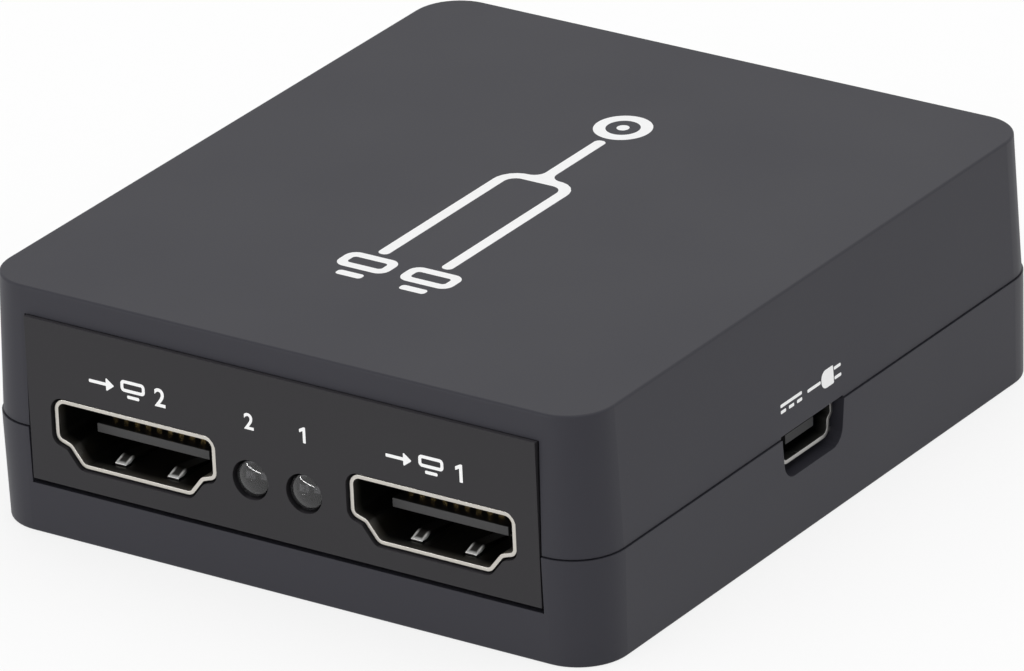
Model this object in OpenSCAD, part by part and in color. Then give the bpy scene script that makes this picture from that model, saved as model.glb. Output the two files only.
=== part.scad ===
// One-to-two video splitter: a moulded case in two halves, a socket panel at each end and the board inside.
// Millimetres, +Z up, the output panel faces -Y, the origin is at the centre of the base.

/* [Case] */
// Width of the case at the seam
case_width = 55; // [53:0.5:70]
// Depth of the case at the seam
case_depth = 62; // [60:0.5:80]
// Height of the case
case_height = 20; // [19:0.1:26]
// Height of the seam between the two covers
seam_height = 8.65; // [8.4:0.05:9.4]
// Radius of the upright corners at the seam
corner_radius = 4.2; // [3:0.1:5]
// Wall of both covers, measured at the seam of the bottom cover
wall = 1.8; // [1.6:0.1:2.2]
// Thickness of the top cover's roof
roof = 1.4; // [1.2:0.1:1.4]
// Thickness of the bottom cover's floor
floor_plate = 1.8; // [1.4:0.1:2.2]
// Lean of the top cover's walls over their height
upper_draft = 0.34; // [0.1:0.02:0.5]
// Lean of the bottom cover's walls over their height
lower_draft = 0.18; // [0.1:0.02:0.5]
// Step by which the top cover stands back from the bottom cover
seam_step = 0.12; // [0.05:0.01:0.3]
// Shadow gap between the covers
seam_gap = 0.1; // [0.06:0.02:0.3]
// Rounding of the top edge
top_edge = 0.2; // [0.15:0.05:0.8]
// Rounding of the base edge
base_edge = 0.2; // [0.15:0.05:1]

/* [Seam lip] */
// Height of the lip that the bottom cover raises inside the top cover
lip_height = 1.3; // [0.8:0.1:2]
// Thickness of the lip
lip_thickness = 0.7; // [0.5:0.05:0.8]
// Clearance between the lip and its rebate
lip_clearance = 0.12; // [0.08:0.02:0.2]

/* [Panels] */
// Case front left beside each panel opening
cheek = 4.55; // [3.8:0.05:5]
// Height of the lower edge of the panel openings
sill = 4.1; // [3.4:0.1:4.2]
// Case front left above the panel openings
brow = 2.2; // [2.2:0.1:3.5]
// Depth of the panels behind the case front
panel_recess = 0.05; // [0.05:0.05:0.8]
// Clearance at each side of a panel
panel_side_gap = 0.15; // [0.05:0.01:0.3]
// Clearance above a panel
panel_head_gap = 0.06; // [0.05:0.01:0.25]
// Clearance below a panel
panel_foot_gap = 0.42; // [0.05:0.01:0.5]
// Overlap of the panel flange behind the case wall
flange_overlap = 0.7; // [0.4:0.05:0.7]
// Thickness of the panel flange
flange_thickness = 0.8; // [0.6:0.1:1]
// Thickness of the keeper ribs behind the flange
keeper_thickness = 1; // [0.8:0.1:1.4]
// Length of a keeper rib
keeper_length = 8; // [4:0.5:12]
// Clearance between flange and keeper rib
keeper_gap = 0.1; // [0.05:0.01:0.3]

/* [Main board] */
// Height of the board's underside over the base
board_height = 4.3; // [4.3:0.1:5]
// Thickness of the board
board_thickness = 1.6; // [1:0.1:2]
// Gap between the board and the side walls
board_side_gap = 0.5; // [0.3:0.1:0.8]
// Gap between the board and the panels
board_end_gap = 0.4; // [0.3:0.1:0.8]

/* [Case screws] */
// Screw posts inside the side walls, wall to centre
post_inset = 4; // [3.8:0.1:5]
// Gap between the front screw bosses and the resistors ahead of them
front_post_gap = 0.6; // [0.4:0.1:1]
// Rear screw posts ahead of the case back
rear_post = 9; // [8:0.1:12]
// Diameter over the thread
screw_diameter = 2.5; // [2.2:0.1:3]
// Length under the head
screw_length = 10; // [8:0.5:12]
// Diameter of the head
screw_head = 4.4; // [4:0.1:5]
// Height of the head
screw_head_height = 1.7; // [1.4:0.1:2]
// Length of each arm of the driver cross, tip to tip
cross_length = 2.6; // [2:0.1:3]
// Width of the driver cross
cross_width = 0.6; // [0.4:0.1:0.8]
// Depth of the driver cross
cross_depth = 0.9; // [0.6:0.1:1.1]
// Length of the screw's point
point_length = 1.2; // [0.8:0.1:1.6]
// Radius of the screw's tip
tip_radius = 0.3; // [0.2:0.05:0.5]
// Depth of the head inside its well
screw_recess = 0.5; // [0.3:0.1:0.8]
// Radial clearance of the screw in the posts and the board
screw_clearance = 0.2; // [0.1:0.05:0.3]
// Radial clearance of the screw in the bosses
screw_grip = 0.05; // [0.03:0.01:0.1]
// Radial clearance of the head in its well
head_clearance = 0.25; // [0.1:0.05:0.4]
// Wall of a screw post round the head
post_wall = 0.95; // [0.8:0.05:1.2]
// Wall of a screw boss round the thread
boss_wall = 1.5; // [1:0.1:1.8]
// Gap between a boss and the board
boss_gap = 0.1; // [0.05:0.01:0.2]
// Free bore past the tip of the screw
bore_spare = 0.8; // [0.4:0.1:1.5]

/* [Video receptacles] */
// Width inside the mouth
mouth_width = 14; // [13.9:0.05:14.2]
// Height inside the mouth
mouth_height = 4.6; // [4.5:0.05:4.8]
// Width of the flat floor inside the mouth
mouth_floor = 9.6; // [9:0.1:9.8]
// Width at the shoulder where the slanted sides ease off
shoulder_width = 11.8; // [11.5:0.1:12.2]
// Height of the shoulder over the floor
shoulder_height = 1.4; // [1.1:0.05:1.5]
// Height over the floor where the upright sides start
side_foot = 1.75; // [1.7:0.05:2.1]
// Rounding beside the flat floor
floor_radius = 0.5; // [0.3:0.05:0.7]
// Rounding of the shoulder, seen from the sheet's inner side
shoulder_radius = 0.7; // [0.65:0.05:1.2]
// Rounding at the foot of the upright sides
side_radius = 0.4; // [0.3:0.05:0.6]
// Rounding of the upper corners
ceiling_radius = 0.6; // [0.3:0.05:0.9]
// Thickness of the receptacle's sheet metal
sheet = 0.3; // [0.26:0.02:0.36]
// Height of a receptacle shell over the board
shell_rise = 0.35; // [0.2:0.05:0.4]
// Length of the receptacle shell
receptacle_length = 11.5; // [11:0.1:12]
// Depth of the mouth's rim behind the panel face
mouth_recess = 0.25; // [0:0.05:0.4]
// Clearance of the panel cut-out round the shell
mouth_clearance = 0.2; // [0.1:0.05:0.35]
// Outputs nearer to the indicators than half way between them and the opening's side
output_inset = 0.15; // [0:0.01:0.3]
// Width of a mounting leg
leg_width = 1.6; // [1.2:0.1:1.8]
// Length of a leg's root on the upright side of the shell
leg_root = 0.8; // [0.5:0.1:1.2]
// Shoulder at each side of a leg that rests on the board
leg_shoulder = 0.4; // [0.3:0.05:0.6]
// Length of a leg below the board
leg_tail = 0.6; // [0.3:0.1:1]
// Front legs behind the mouth
leg_front = 4.2; // [4:0.1:4.6]
// Rear legs behind the mouth
leg_rear = 9.4; // [9:0.1:9.8]
// Clearance of the legs in the board
leg_clearance = 0.15; // [0.1:0.05:0.2]
// Leaf springs to either side of the centre
spring_offset = 2.4; // [2.2:0.1:3]
// Width of a leaf spring
spring_width = 1; // [0.8:0.1:1.5]
// Slot beside a leaf spring
spring_slot = 0.25; // [0.2:0.05:0.4]
// Free tip of a leaf spring behind the mouth
spring_tip = 1.2; // [1:0.05:1.6]
// Crown of a leaf spring behind the mouth
spring_crown = 2.3; // [2:0.05:2.6]
// Root of a leaf spring behind the mouth
spring_root = 5.4; // [5:0.1:5.8]
// Rise of the crown into the mouth
spring_lift = 0.5; // [0.4:0.02:0.6]
// Drop of the tip below the crown
spring_dip = 0.4; // [0.2:0.02:0.44]
// Rounding of the crown
crown_radius = 0.8; // [0.4:0.05:1]
// Thickness of a leaf spring
spring_sheet = 0.26; // [0.2:0.02:0.3]

/* [Receptacle inserts] */
// Width of the contact tongue
tongue_width = 10.2; // [10:0.1:10.4]
// Thickness of the contact tongue
tongue_thickness = 0.7; // [0.65:0.05:0.9]
// Depth of the tongue behind the mouth
tongue_recess = 2.2; // [2:0.1:2.5]
// Drop of the tongue below the middle of the mouth
tongue_drop = 0.2; // [0:0.05:0.3]
// Front of the insulator block behind the mouth
block_front = 7.6; // [7:0.1:8]
// Clearance between the block and the shell
block_clearance = 0.06; // [0.03:0.01:0.1]
// Contacts on the upper face of the tongue, with one fewer below
upper_contacts = 10; // [8:1:10]
// Pitch of the contacts on one face
contact_pitch = 1; // [0.9:0.05:1.02]
// Width of a contact
contact_width = 0.42; // [0.3:0.02:0.44]
// Thickness of a contact
contact_thickness = 0.15; // [0.1:0.01:0.2]
// Clearance round a contact in its slot
contact_clearance = 0.03; // [0.02:0.01:0.05]
// Contacts start behind the tongue's edge
contact_start = 1.5; // [0.8:0.05:1.6]
// Bend of the contact tails behind the shell
tail_gap = 0.2; // [0.15:0.05:0.3]
// Length of a contact's foot on the board
tail_foot = 1; // [0.8:0.1:1.2]

/* [Power socket] */
// Centre of the power socket along the case side
power_offset = -1.6; // [-3:0.1:0]
// Depth of the socket behind the case side
power_recess = 0.8; // [0.8:0.05:1.2]
// Width inside the upper part of the socket
power_width = 7; // [6.8:0.05:7.1]
// Width inside the lower part of the socket
power_floor = 6; // [5.8:0.05:6.2]
// Height inside the socket
power_height = 3.2; // [3.1:0.05:3.3]
// Height over the floor where the upper part starts
power_step = 1.45; // [1.2:0.05:1.6]
// Rise of the slanted step between the two parts
power_step_rise = 0.3; // [0.2:0.05:0.4]
// Rounding of the socket's lower corners
power_floor_radius = 0.5; // [0.3:0.05:0.6]
// Rounding of the step, seen from the sheet's inner side
power_step_radius = 0.45; // [0.42:0.01:0.5]
// Rounding of the other inner corners of the socket
power_side_radius = 0.12; // [0.08:0.01:0.14]
// Thickness of the socket's sheet metal
power_sheet = 0.3; // [0.26:0.02:0.4]
// Length of the socket shell
power_length = 9; // [8.5:0.1:9.5]
// Gap between the socket and the sides of its slot
slot_side_gap = 0.55; // [0.4:0.05:0.7]
// Gap between the socket and the foot of its slot
slot_foot_gap = 0.75; // [0.5:0.05:0.9]
// Rounding of the slot's lower corners
slot_corner = 1.4; // [0.6:0.1:1.6]
// Rise of the slot into the top cover
slot_rise = 0.15; // [0.05:0.05:0.3]
// Clearance between the socket and the pocket in the top cover
pocket_clearance = 0.1; // [0.1:0.05:0.3]
// Width of the socket's tongue
power_tongue_width = 3.8; // [3.6:0.1:4.2]
// Thickness of the socket's tongue
power_tongue_thickness = 0.75; // [0.6:0.05:0.9]
// Depth of the tongue behind the socket's mouth
power_tongue_recess = 0.5; // [0.3:0.05:1]
// Height of the tongue over the socket's floor
power_tongue_height = 0.9; // [0.6:0.05:1]
// Front of the socket's insulator block behind the mouth
power_block_front = 5.6; // [5:0.1:6]
// Contacts in the power socket
power_contact_count = 5; // [4:1:5]
// Pitch of the contacts in the power socket
power_contact_pitch = 0.8; // [0.7:0.05:0.85]
// Width of the solder feet beside the power socket
power_foot_width = 1.2; // [0.8:0.1:1.4]
// Length of the solder feet along the power socket
power_foot_length = 2; // [1.5:0.1:2.2]

/* [Indicators] */
// Pitch of the two indicators
indicator_pitch = 4.8; // [4.4:0.1:5]
// Offset of the pair of indicators, as a share of the bare panel beside them
indicator_share = -0.2; // [-0.6:0.02:0.6]
// Height of the lens axis over the board
indicator_height = 3; // [2.4:0.1:3.2]
// Diameter of a lens
lens_diameter = 2.8; // [2.5:0.1:2.9]
// Depth of a lens's shoulder behind the panel face
lens_recess = 0.3; // [0.25:0.05:0.5]
// Height of the dome over the shoulder
lens_crown = 0.35; // [0.2:0.05:0.4]
// Length of a lens behind the shoulder
lens_length = 4; // [3.6:0.1:4.4]
// Rim of a lens beyond its side
lens_rim = 0.2; // [0.1:0.05:0.3]
// Thickness of the rim
rim_thickness = 0.7; // [0.5:0.1:0.8]
// Clearance round a lens in the panel
lens_clearance = 0.2; // [0.1:0.05:0.3]
// Side of a square lead
lead_size = 0.5; // [0.4:0.05:0.6]
// Pitch of the two leads
lead_pitch = 2.54; // [2:0.02:2.6]
// Leads bend down this far behind the lens
lead_reach = 1.9; // [1.5:0.1:2.5]
// Clearance round a lead in the board
lead_clearance = 0.1; // [0.05:0.05:0.2]

/* [Electronics] */
// Place of the splitter chip on the board
chip_place = [-3, 0]; // [-4:0.5:4]
// Side of the splitter chip's body
chip_side = 14; // [12.8:0.1:14.4]
// Height of the splitter chip's body
chip_height = 1.4; // [1:0.1:1.6]
// Leads on each side of the splitter chip
chip_leads = 16; // [12:1:16]
// Pitch of the splitter chip's leads
chip_lead_pitch = 0.8; // [0.65:0.05:0.8]
// Width of a splitter chip lead
chip_lead_width = 0.35; // [0.25:0.05:0.4]
// Reach of a chip lead beyond the body
lead_span = 1; // [0.9:0.05:1.1]
// Length of a chip lead's foot
lead_foot = 0.5; // [0.4:0.05:0.6]
// Thickness of a chip lead
lead_sheet = 0.16; // [0.12:0.02:0.2]
// Standoff of a chip body over the board
chip_standoff = 0.1; // [0.05:0.05:0.2]
// Memory chip and crystal to the left edge of the board
left_parts_edge = 5.5; // [4:0.1:6.5]
// Place of the memory chip along the board
memory_y = 6; // [2:0.5:9]
// Size of the memory chip's body
memory_size = [4.9, 3.9, 1.45]; // [1:0.05:6]
// Leads on each side of the memory chip
memory_leads = 4; // [3:1:4]
// Pitch of the memory chip's leads
memory_lead_pitch = 1.27; // [1:0.01:1.27]
// Voltage regulator to the right edge of the board
regulator_edge = 12.2; // [11:0.1:14]
// Place of the voltage regulator along the board
regulator_y = 9; // [8:0.5:14]
// Size of the voltage regulator's body
regulator_size = [6.5, 3.5, 1.6]; // [1:0.05:7]
// Width of the voltage regulator's tab
regulator_tab = 3; // [2.6:0.1:3.4]
// Leads on the side across from the tab
regulator_lead_count = 3; // [2:1:3]
// Width of a voltage regulator lead
regulator_lead_width = 0.8; // [0.6:0.1:1]
// Pitch of the voltage regulator's leads
regulator_pitch = 2.3; // [2:0.05:2.4]
// Gap between the power socket's contact feet and the power inductor
inductor_gap = 0.9; // [0.5:0.1:1.5]
// Size of the power inductor
inductor_size = [5.2, 5.2, 2.8]; // [2:0.1:5.6]
// Height of the power inductor's foot and of its cap
inductor_flange = 0.7; // [0.5:0.1:0.9]
// Diameter of the power inductor's winding
inductor_winding = 3.8; // [3:0.1:4.4]
// Diameter of the power inductor's cap
inductor_cap = 4.9; // [4.5:0.1:5.1]
// Place of the crystal along the board
crystal_y = -3.5; // [-4.5:0.5:-1]
// Size of the crystal's can
crystal_size = [5, 3.2, 1.2]; // [1:0.1:6]
// Rim round the foot of the crystal's can
crystal_rim = 0.3; // [0.2:0.05:0.4]
// Filter capacitors to the right edge of the board
can_edge = 4.5; // [3.5:0.1:5]
// Place of the first filter capacitor along the board
can_y = 7.5; // [6:0.5:9]
// Distance between the two filter capacitors
can_pitch = 6.4; // [6:0.1:7]
// Diameter of a filter capacitor
can_diameter = 5; // [4:0.1:5.4]
// Height of a filter capacitor
can_height = 5.4; // [4.5:0.1:7]
// Height of a filter capacitor's base
can_base = 0.9; // [0.6:0.1:1.2]
// Depth of the groove above a filter capacitor's base
can_groove = 0.15; // [0.1:0.05:0.3]
// Width of that groove
can_groove_width = 0.8; // [0.5:0.1:1]
// Inset of a filter capacitor's can from its base
can_inset = 0.15; // [0.1:0.05:0.2]
// Size of a chip capacitor
capacitor_size = [1.6, 0.8, 0.8]; // [0.5:0.05:2]
// Chip capacitors on each side of the splitter chip
capacitor_count = 3; // [1:1:4]
// Pitch of the chip capacitors
capacitor_pitch = 3.6; // [2.4:0.1:3.8]
// Gap between the chip's leads and the capacitors
capacitor_gap = 0.9; // [0.6:0.1:1.2]
// Size of a chip resistor
resistor_size = [1.6, 0.8, 0.45]; // [0.3:0.05:1.8]
// Chip resistors behind each receptacle
resistor_count = 8; // [4:1:8]
// Pitch of the chip resistors
resistor_pitch = 1.4; // [1.2:0.1:1.5]
// Gap between the contact feet and the resistors
resistor_gap = 1; // [0.6:0.1:1.4]
// Metal end of a chip resistor or capacitor
end_cap = 0.3; // [0.2:0.05:0.4]
// Thickness of a metal end
end_sheet = 0.04; // [0.02:0.01:0.06]
// Size of a surge array
surge_size = [2.5, 1, 0.6]; // [0.4:0.05:3]
// Surge arrays to either side of the receptacle's centre
surge_offset = 2.6; // [2:0.1:3.4]
// Gap between the resistors and the surge arrays
surge_gap = 0.8; // [0.5:0.1:1]

/* [Hidden] */
$fn = 48;

case_colour = [0.3, 0.3, 0.31];
panel_colour = [0.24, 0.24, 0.25];
nickel_colour = [0.78, 0.75, 0.7];
insulator_colour = [0.16, 0.16, 0.17];
gold_colour = [0.83, 0.68, 0.35];
board_colour = [0.1, 0.13, 0.12];
lens_colour = [0.5, 0.5, 0.52];
chip_colour = [0.12, 0.12, 0.13];
tin_colour = [0.72, 0.72, 0.74];
ceramic_colour = [0.66, 0.55, 0.42];

// A cut runs this far past the face that it opens
past = 1;
// Steps in a rounded corner of an outline
arc_steps = 5;

opening_width = case_width - 2 * cheek;
opening_top = case_height - brow;
panel_face = case_depth / 2 - panel_recess;
wall_inside = case_depth / 2 - wall;
flange_back = wall_inside - flange_thickness;
roof_underside = case_height - roof;

board_top = board_height + board_thickness;
board_width = case_width - 2 * (wall + board_side_gap);
board_depth = 2 * (flange_back - board_end_gap);

post_diameter = screw_head + 2 * (head_clearance + post_wall);
boss_diameter = screw_diameter + 2 * (screw_grip + boss_wall);
head_seat = screw_recess + screw_head_height;
screw_tip = head_seat + screw_length;
post_x = case_width / 2 - wall - post_inset;
indicator_reach = (indicator_pitch + lens_diameter) / 2 + lens_clearance;
output_x = (indicator_reach + opening_width / 2) / 2 - output_inset;
cut_reach = mouth_width / 2 + sheet + mouth_clearance;
indicator_shift = indicator_share * (output_x - cut_reach - indicator_reach);
mouth_y = panel_face - mouth_recess;
mouth_base = shell_rise + sheet;
tongue_middle = mouth_base + mouth_height / 2 - tongue_drop;
tongue_top = tongue_middle + tongue_thickness / 2;
tongue_bottom = tongue_middle - tongue_thickness / 2;
tail_end = receptacle_length + tail_gap + tail_foot;

power_mouth = case_width / 2 - power_recess;
power_top = power_height + 2 * power_sheet;
power_tongue_bottom = power_sheet + power_tongue_height;

lens_rear = panel_face - lens_recess - lens_length;
indicator_z = board_top + indicator_height;
lead_y = lens_rear - lead_reach;

resistor_y = tail_end + resistor_gap + resistor_size[0] / 2;
resistor_end = resistor_y + resistor_size[0] / 2;
surge_y = resistor_end + surge_gap + surge_size[1] / 2;
front_post = resistor_end + front_post_gap + boss_diameter / 2 - mouth_y;
screw_places = [for (x = [-post_x, post_x], y = [front_post, case_depth / 2 - rear_post]) [x, y]];
memory_place = [left_parts_edge - board_width / 2, memory_y];
crystal_place = [left_parts_edge - board_width / 2, crystal_y];
regulator_place = [board_width / 2 - regulator_edge, regulator_y];
inductor_x = power_mouth - power_length - tail_gap - tail_foot - inductor_gap - inductor_size[0] / 2;
inductor_place = [inductor_x, power_offset];
can_place = [board_width / 2 - can_edge, can_y];
capacitor_reach = chip_side / 2 + lead_span + capacitor_gap + capacitor_size[1] / 2;

// Outlines

function unit(v) = v / norm(v);
function reversed(list) = [for (i = [len(list) - 1:-1:0]) list[i]];

// Arc of radius r that replaces corner b of an outline
function corner_arc(a, b, c, r) =
  let (u = unit(a - b), v = unit(c - b), half = acos(u * v) / 2)
  let (centre = b + unit(u + v) * r / sin(half))
  let (from = b + u * r / tan(half) - centre, to = b + v * r / tan(half) - centre)
  [for (i = [0:arc_steps]) centre + r * unit(from * (1 - i / arc_steps) + to * i / arc_steps)];

function before(points, i) = points[(i + len(points) - 1) % len(points)];
function after(points, i) = points[(i + 1) % len(points)];

// Outline with every corner rounded by its own radius, or left sharp at radius 0
function softened(points, radii) = [
  for (i = [0:len(points) - 1])
    each radii[i] == 0 ? [points[i]] : corner_arc(before(points, i), points[i], after(points, i), radii[i])
];

// Anticlockwise outline moved outwards by a distance
function grown(points, g) = [
  for (i = [0:len(points) - 1])
    let (d0 = unit(points[i] - before(points, i)), d1 = unit(after(points, i) - points[i]))
    let (n0 = [d0[1], -d0[0]], n1 = [d1[1], -d1[0]])
    points[i] + g * (n0 + n1) / (1 + n0 * n1)
];

// Right half of an outline, from the floor up, completed with its mirror image
function mirrored(half) = concat(half, [for (i = [len(half) - 1:-1:0]) [-half[i][0], half[i][1]]]);

// Corner radii of a right half, completed in the same order
function mirrored_radii(half) = concat(half, reversed(half));

mouth_points = mirrored([
  [mouth_floor / 2, mouth_base],
  [shoulder_width / 2, mouth_base + shoulder_height],
  [mouth_width / 2, mouth_base + side_foot],
  [mouth_width / 2, mouth_base + mouth_height]
]);

// Mouth of a video receptacle, grown outwards by g
function mouth_outline(g) =
  softened(grown(mouth_points, g), mirrored_radii([
    floor_radius + g, shoulder_radius - g, side_radius + g, ceiling_radius + g
  ]));

power_points = mirrored([
  [power_floor / 2, power_sheet],
  [power_floor / 2, power_sheet + power_step - power_step_rise],
  [power_width / 2, power_sheet + power_step],
  [power_width / 2, power_sheet + power_height]
]);

// Mouth of the power socket, grown outwards by g
function power_outline(g) =
  softened(grown(power_points, g), mirrored_radii([
    power_floor_radius + g, power_step_radius - g, power_side_radius + g, power_side_radius + g
  ]));

// Slot for the power socket, wider from its foot up to the height top over the board
function slot_outline(top) =
  let (foot = power_floor / 2 + power_sheet + slot_side_gap)
  let (side = power_width / 2 + power_sheet + slot_side_gap)
  let (lean = (side - foot) / (power_top + slot_foot_gap))
  softened(mirrored([
    [foot, -slot_foot_gap],
    [foot + lean * (top + slot_foot_gap), top]
  ]), mirrored_radii([slot_corner, 0]));

// Quarter round from an upright side to a level face, as steps from the sharp edge
function edge_steps(r) = [
  for (i = [0:arc_steps])
    let (turn = 90 * i / arc_steps)
    r * [cos(turn) - 1, sin(turn) - 1]
];

// Shapes that repeat

// Rectangle with round corners
module rounded_plate(width, depth, radius) {
  square([width - 2 * radius, depth], center = true);
  square([width, depth - 2 * radius], center = true);
  for (x = [-1, 1], y = [-1, 1]) {
    translate([x * (width / 2 - radius), y * (depth / 2 - radius)])
      circle(radius);
  }
}

// Solid on the case outline whose wall follows a profile of [offset from the outline, height]
module case_block(profile) {
  low = profile[0][1];
  high = profile[len(profile) - 1][1];
  span = [case_width / 2, case_depth / 2];
  for (x = [-1, 1], y = [-1, 1]) {
    translate([x * (span[0] - corner_radius), y * (span[1] - corner_radius), 0])
      rotate_extrude()
        polygon(concat([[0, low]], [for (p = profile) [corner_radius + p[0], p[1]]], [[0, high]]));
  }
  rotate([90, 0, 0])
    linear_extrude(case_depth - 2 * corner_radius, center = true)
      polygon(mirrored([for (p = profile) [span[0] + p[0], p[1]]]));
  rotate([90, 0, 90])
    linear_extrude(case_width - 2 * corner_radius, center = true)
      polygon(mirrored([for (p = profile) [span[1] + p[0], p[1]]]));
}

// Space inside the case walls, grown outwards by g, between two heights
module cavity(g, low, high) {
  translate([0, 0, low])
    linear_extrude(high - low)
      rounded_plate(case_width - 2 * wall + 2 * g, case_depth - 2 * wall + 2 * g, corner_radius - wall + g);
}

// Upright outline in X and Z, drawn out along Y from 0
module along_y(length) {
  translate([0, length, 0])
    rotate([90, 0, 0])
      linear_extrude(length)
        children();
}

// Side outline in Y and Z, drawn out along X about 0
module across_x(width) {
  rotate([90, 0, 90])
    linear_extrude(width, center = true)
      children();
}

// Children at the front end and, turned round, at the rear end
module both_ends() {
  for (turn = [0, 180]) {
    rotate(turn)
      children();
  }
}

// Places of the receptacles: mouth at the origin, facing -Y, on the board
module at_output(side) {
  translate([side * output_x, -mouth_y, board_top])
    children();
}

module at_input() {
  rotate(180)
    translate([0, -mouth_y, board_top])
      children();
}

module at_every_receptacle() {
  at_output(1)
    children();
  at_output(-1)
    children();
  at_input()
    children();
}

// Place of the power socket: mouth at the origin, on the board
module at_power() {
  translate([power_mouth, power_offset, board_top])
    rotate(90)
      children();
}

// Place of an indicator across the panel
module at_indicator(side) {
  translate([indicator_shift + side * indicator_pitch / 2, 0, 0])
    children();
}

// Openings for the panels in both covers
module panel_openings() {
  both_ends() {
    translate([-opening_width / 2, -case_depth / 2 - past, sill])
      cube([opening_width, wall + 2 * past, opening_top - sill]);
  }
}

// Keeper ribs behind the panel flanges, between two heights
module keeper_ribs(low, high) {
  both_ends() {
    for (side = [-1, 1]) {
      translate([side * output_x - keeper_length / 2, -flange_back + keeper_gap, low])
        cube([keeper_length, keeper_thickness, high - low]);
    }
  }
}

// Covers

module top_cover() {
  low = seam_height + seam_gap;
  lip_top = seam_height + lip_height + lip_clearance;
  side = -seam_step - upper_draft;
  profile = concat([[-seam_step, low]], [for (p = edge_steps(top_edge)) [side + p[0], case_height + p[1]]]);
  color(case_colour)
    difference() {
      union() {
        difference() {
          case_block(profile);
          cavity(0, low - past, roof_underside);
          cavity(lip_thickness + lip_clearance, low - past, lip_top);
          panel_openings();
          at_power()
            translate([0, -power_recess - past, 0])
              along_y(wall + 2 * past)
                polygon(slot_outline(low + slot_rise - board_top));
          power_pocket();
        }
        for (p = screw_places) {
          translate([p[0], p[1], board_top + boss_gap])
            cylinder(d = boss_diameter, h = roof_underside + roof / 2 - board_top - boss_gap);
        }
        keeper_ribs(opening_top - keeper_thickness, roof_underside + roof / 2);
      }
      for (p = screw_places) {
        translate([p[0], p[1], board_top])
          cylinder(r = screw_diameter / 2 + screw_grip, h = screw_tip + bore_spare - board_top);
      }
    }
}

// Pocket on the inner face of the wall that clears the upper part of the power socket
module power_pocket() {
  width = power_width + 2 * (power_sheet + pocket_clearance);
  at_power()
    translate([-width / 2, -pocket_clearance, 0])
      cube([width, wall, power_top + pocket_clearance]);
}

module bottom_cover() {
  side = [for (p = reversed(edge_steps(base_edge))) [p[0] - lower_draft, -p[1]]];
  color(case_colour)
    difference() {
      union() {
        difference() {
          case_block(concat(side, [[0, seam_height]]));
          cavity(0, floor_plate, seam_height + past);
        }
        difference() {
          cavity(lip_thickness, seam_height - lip_height, seam_height + lip_height);
          cavity(0, floor_plate, seam_height + lip_height + past);
        }
        for (p = screw_places) {
          translate([p[0], p[1], floor_plate / 2])
            cylinder(d = post_diameter, h = board_height - floor_plate / 2);
        }
        keeper_ribs(floor_plate / 2, sill);
      }
      panel_openings();
      at_power()
        translate([0, -power_recess - past, 0])
          along_y(wall + 2 * past)
            polygon(slot_outline(seam_height + lip_height + past - board_top));
      for (p = screw_places) {
        translate([p[0], p[1], -past])
          cylinder(r = screw_head / 2 + head_clearance, h = head_seat + past);
        translate([p[0], p[1], -past])
          cylinder(r = screw_diameter / 2 + screw_clearance, h = board_height + 2 * past);
      }
    }
}

// Panels

// Flanged panel at the front end, before its holes are cut
module blank_panel() {
  width = opening_width - 2 * panel_side_gap;
  low = sill + panel_foot_gap;
  high = opening_top - panel_head_gap;
  flange_width = opening_width + 2 * flange_overlap;
  translate([-width / 2, -panel_face, low])
    cube([width, panel_face - flange_back, high - low]);
  translate([-flange_width / 2, -wall_inside, sill - flange_overlap])
    cube([flange_width, flange_thickness, opening_top - sill + 2 * flange_overlap]);
}

// Cut-out for a video receptacle
module mouth_cut() {
  translate([0, -mouth_recess - past, 0])
    along_y(wall + flange_thickness + 2 * past)
      polygon(mouth_outline(sheet + mouth_clearance));
}

module front_panel() {
  color(panel_colour)
    difference() {
      blank_panel();
      for (side = [-1, 1]) {
        at_output(side)
          mouth_cut();
        at_indicator(side)
          translate([0, -case_depth / 2, indicator_z])
            rotate([-90, 0, 0])
              cylinder(r = lens_diameter / 2 + lens_clearance, h = 2 * wall + flange_thickness);
      }
    }
}

module rear_panel() {
  color(panel_colour)
    difference() {
      rotate(180)
        blank_panel();
      at_input()
        mouth_cut();
    }
}

// Fasteners

module case_screws() {
  shank = screw_head_height + screw_length - point_length;
  color(tin_colour)
    for (p = screw_places) {
      translate([p[0], p[1], screw_recess])
        difference() {
          union() {
            cylinder(d = screw_head, h = screw_head_height);
            cylinder(d = screw_diameter, h = shank);
            translate([0, 0, shank])
              cylinder(r1 = screw_diameter / 2, r2 = tip_radius, h = point_length);
          }
          for (turn = [0, 90]) {
            rotate(turn)
              cube([cross_length, cross_width, 2 * cross_depth], center = true);
          }
        }
    }
}

// Board

module main_board() {
  leg_x = (mouth_width + sheet) / 2;
  slot = [sheet + 2 * leg_clearance, leg_width + 2 * leg_clearance, board_thickness + 2 * past];
  color(board_colour)
    difference() {
      translate([-board_width / 2, -board_depth / 2, board_height])
        cube([board_width, board_depth, board_thickness]);
      for (p = screw_places) {
        translate([p[0], p[1], board_height - past])
          cylinder(r = screw_diameter / 2 + screw_clearance, h = board_thickness + 2 * past);
      }
      at_every_receptacle() {
        for (side = [-1, 1], y = [leg_front, leg_rear]) {
          translate([side * leg_x, y, -board_thickness / 2])
            cube(slot, center = true);
        }
      }
      for (side = [-1, 1], lead = [-1, 1]) {
        at_indicator(side)
          translate([lead * lead_pitch / 2, lead_size / 2 - lead_y, board_height - past])
            cylinder(r = lead_size * sqrt(0.5) + lead_clearance, h = board_thickness + 2 * past);
      }
    }
}

// Video receptacles

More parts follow.
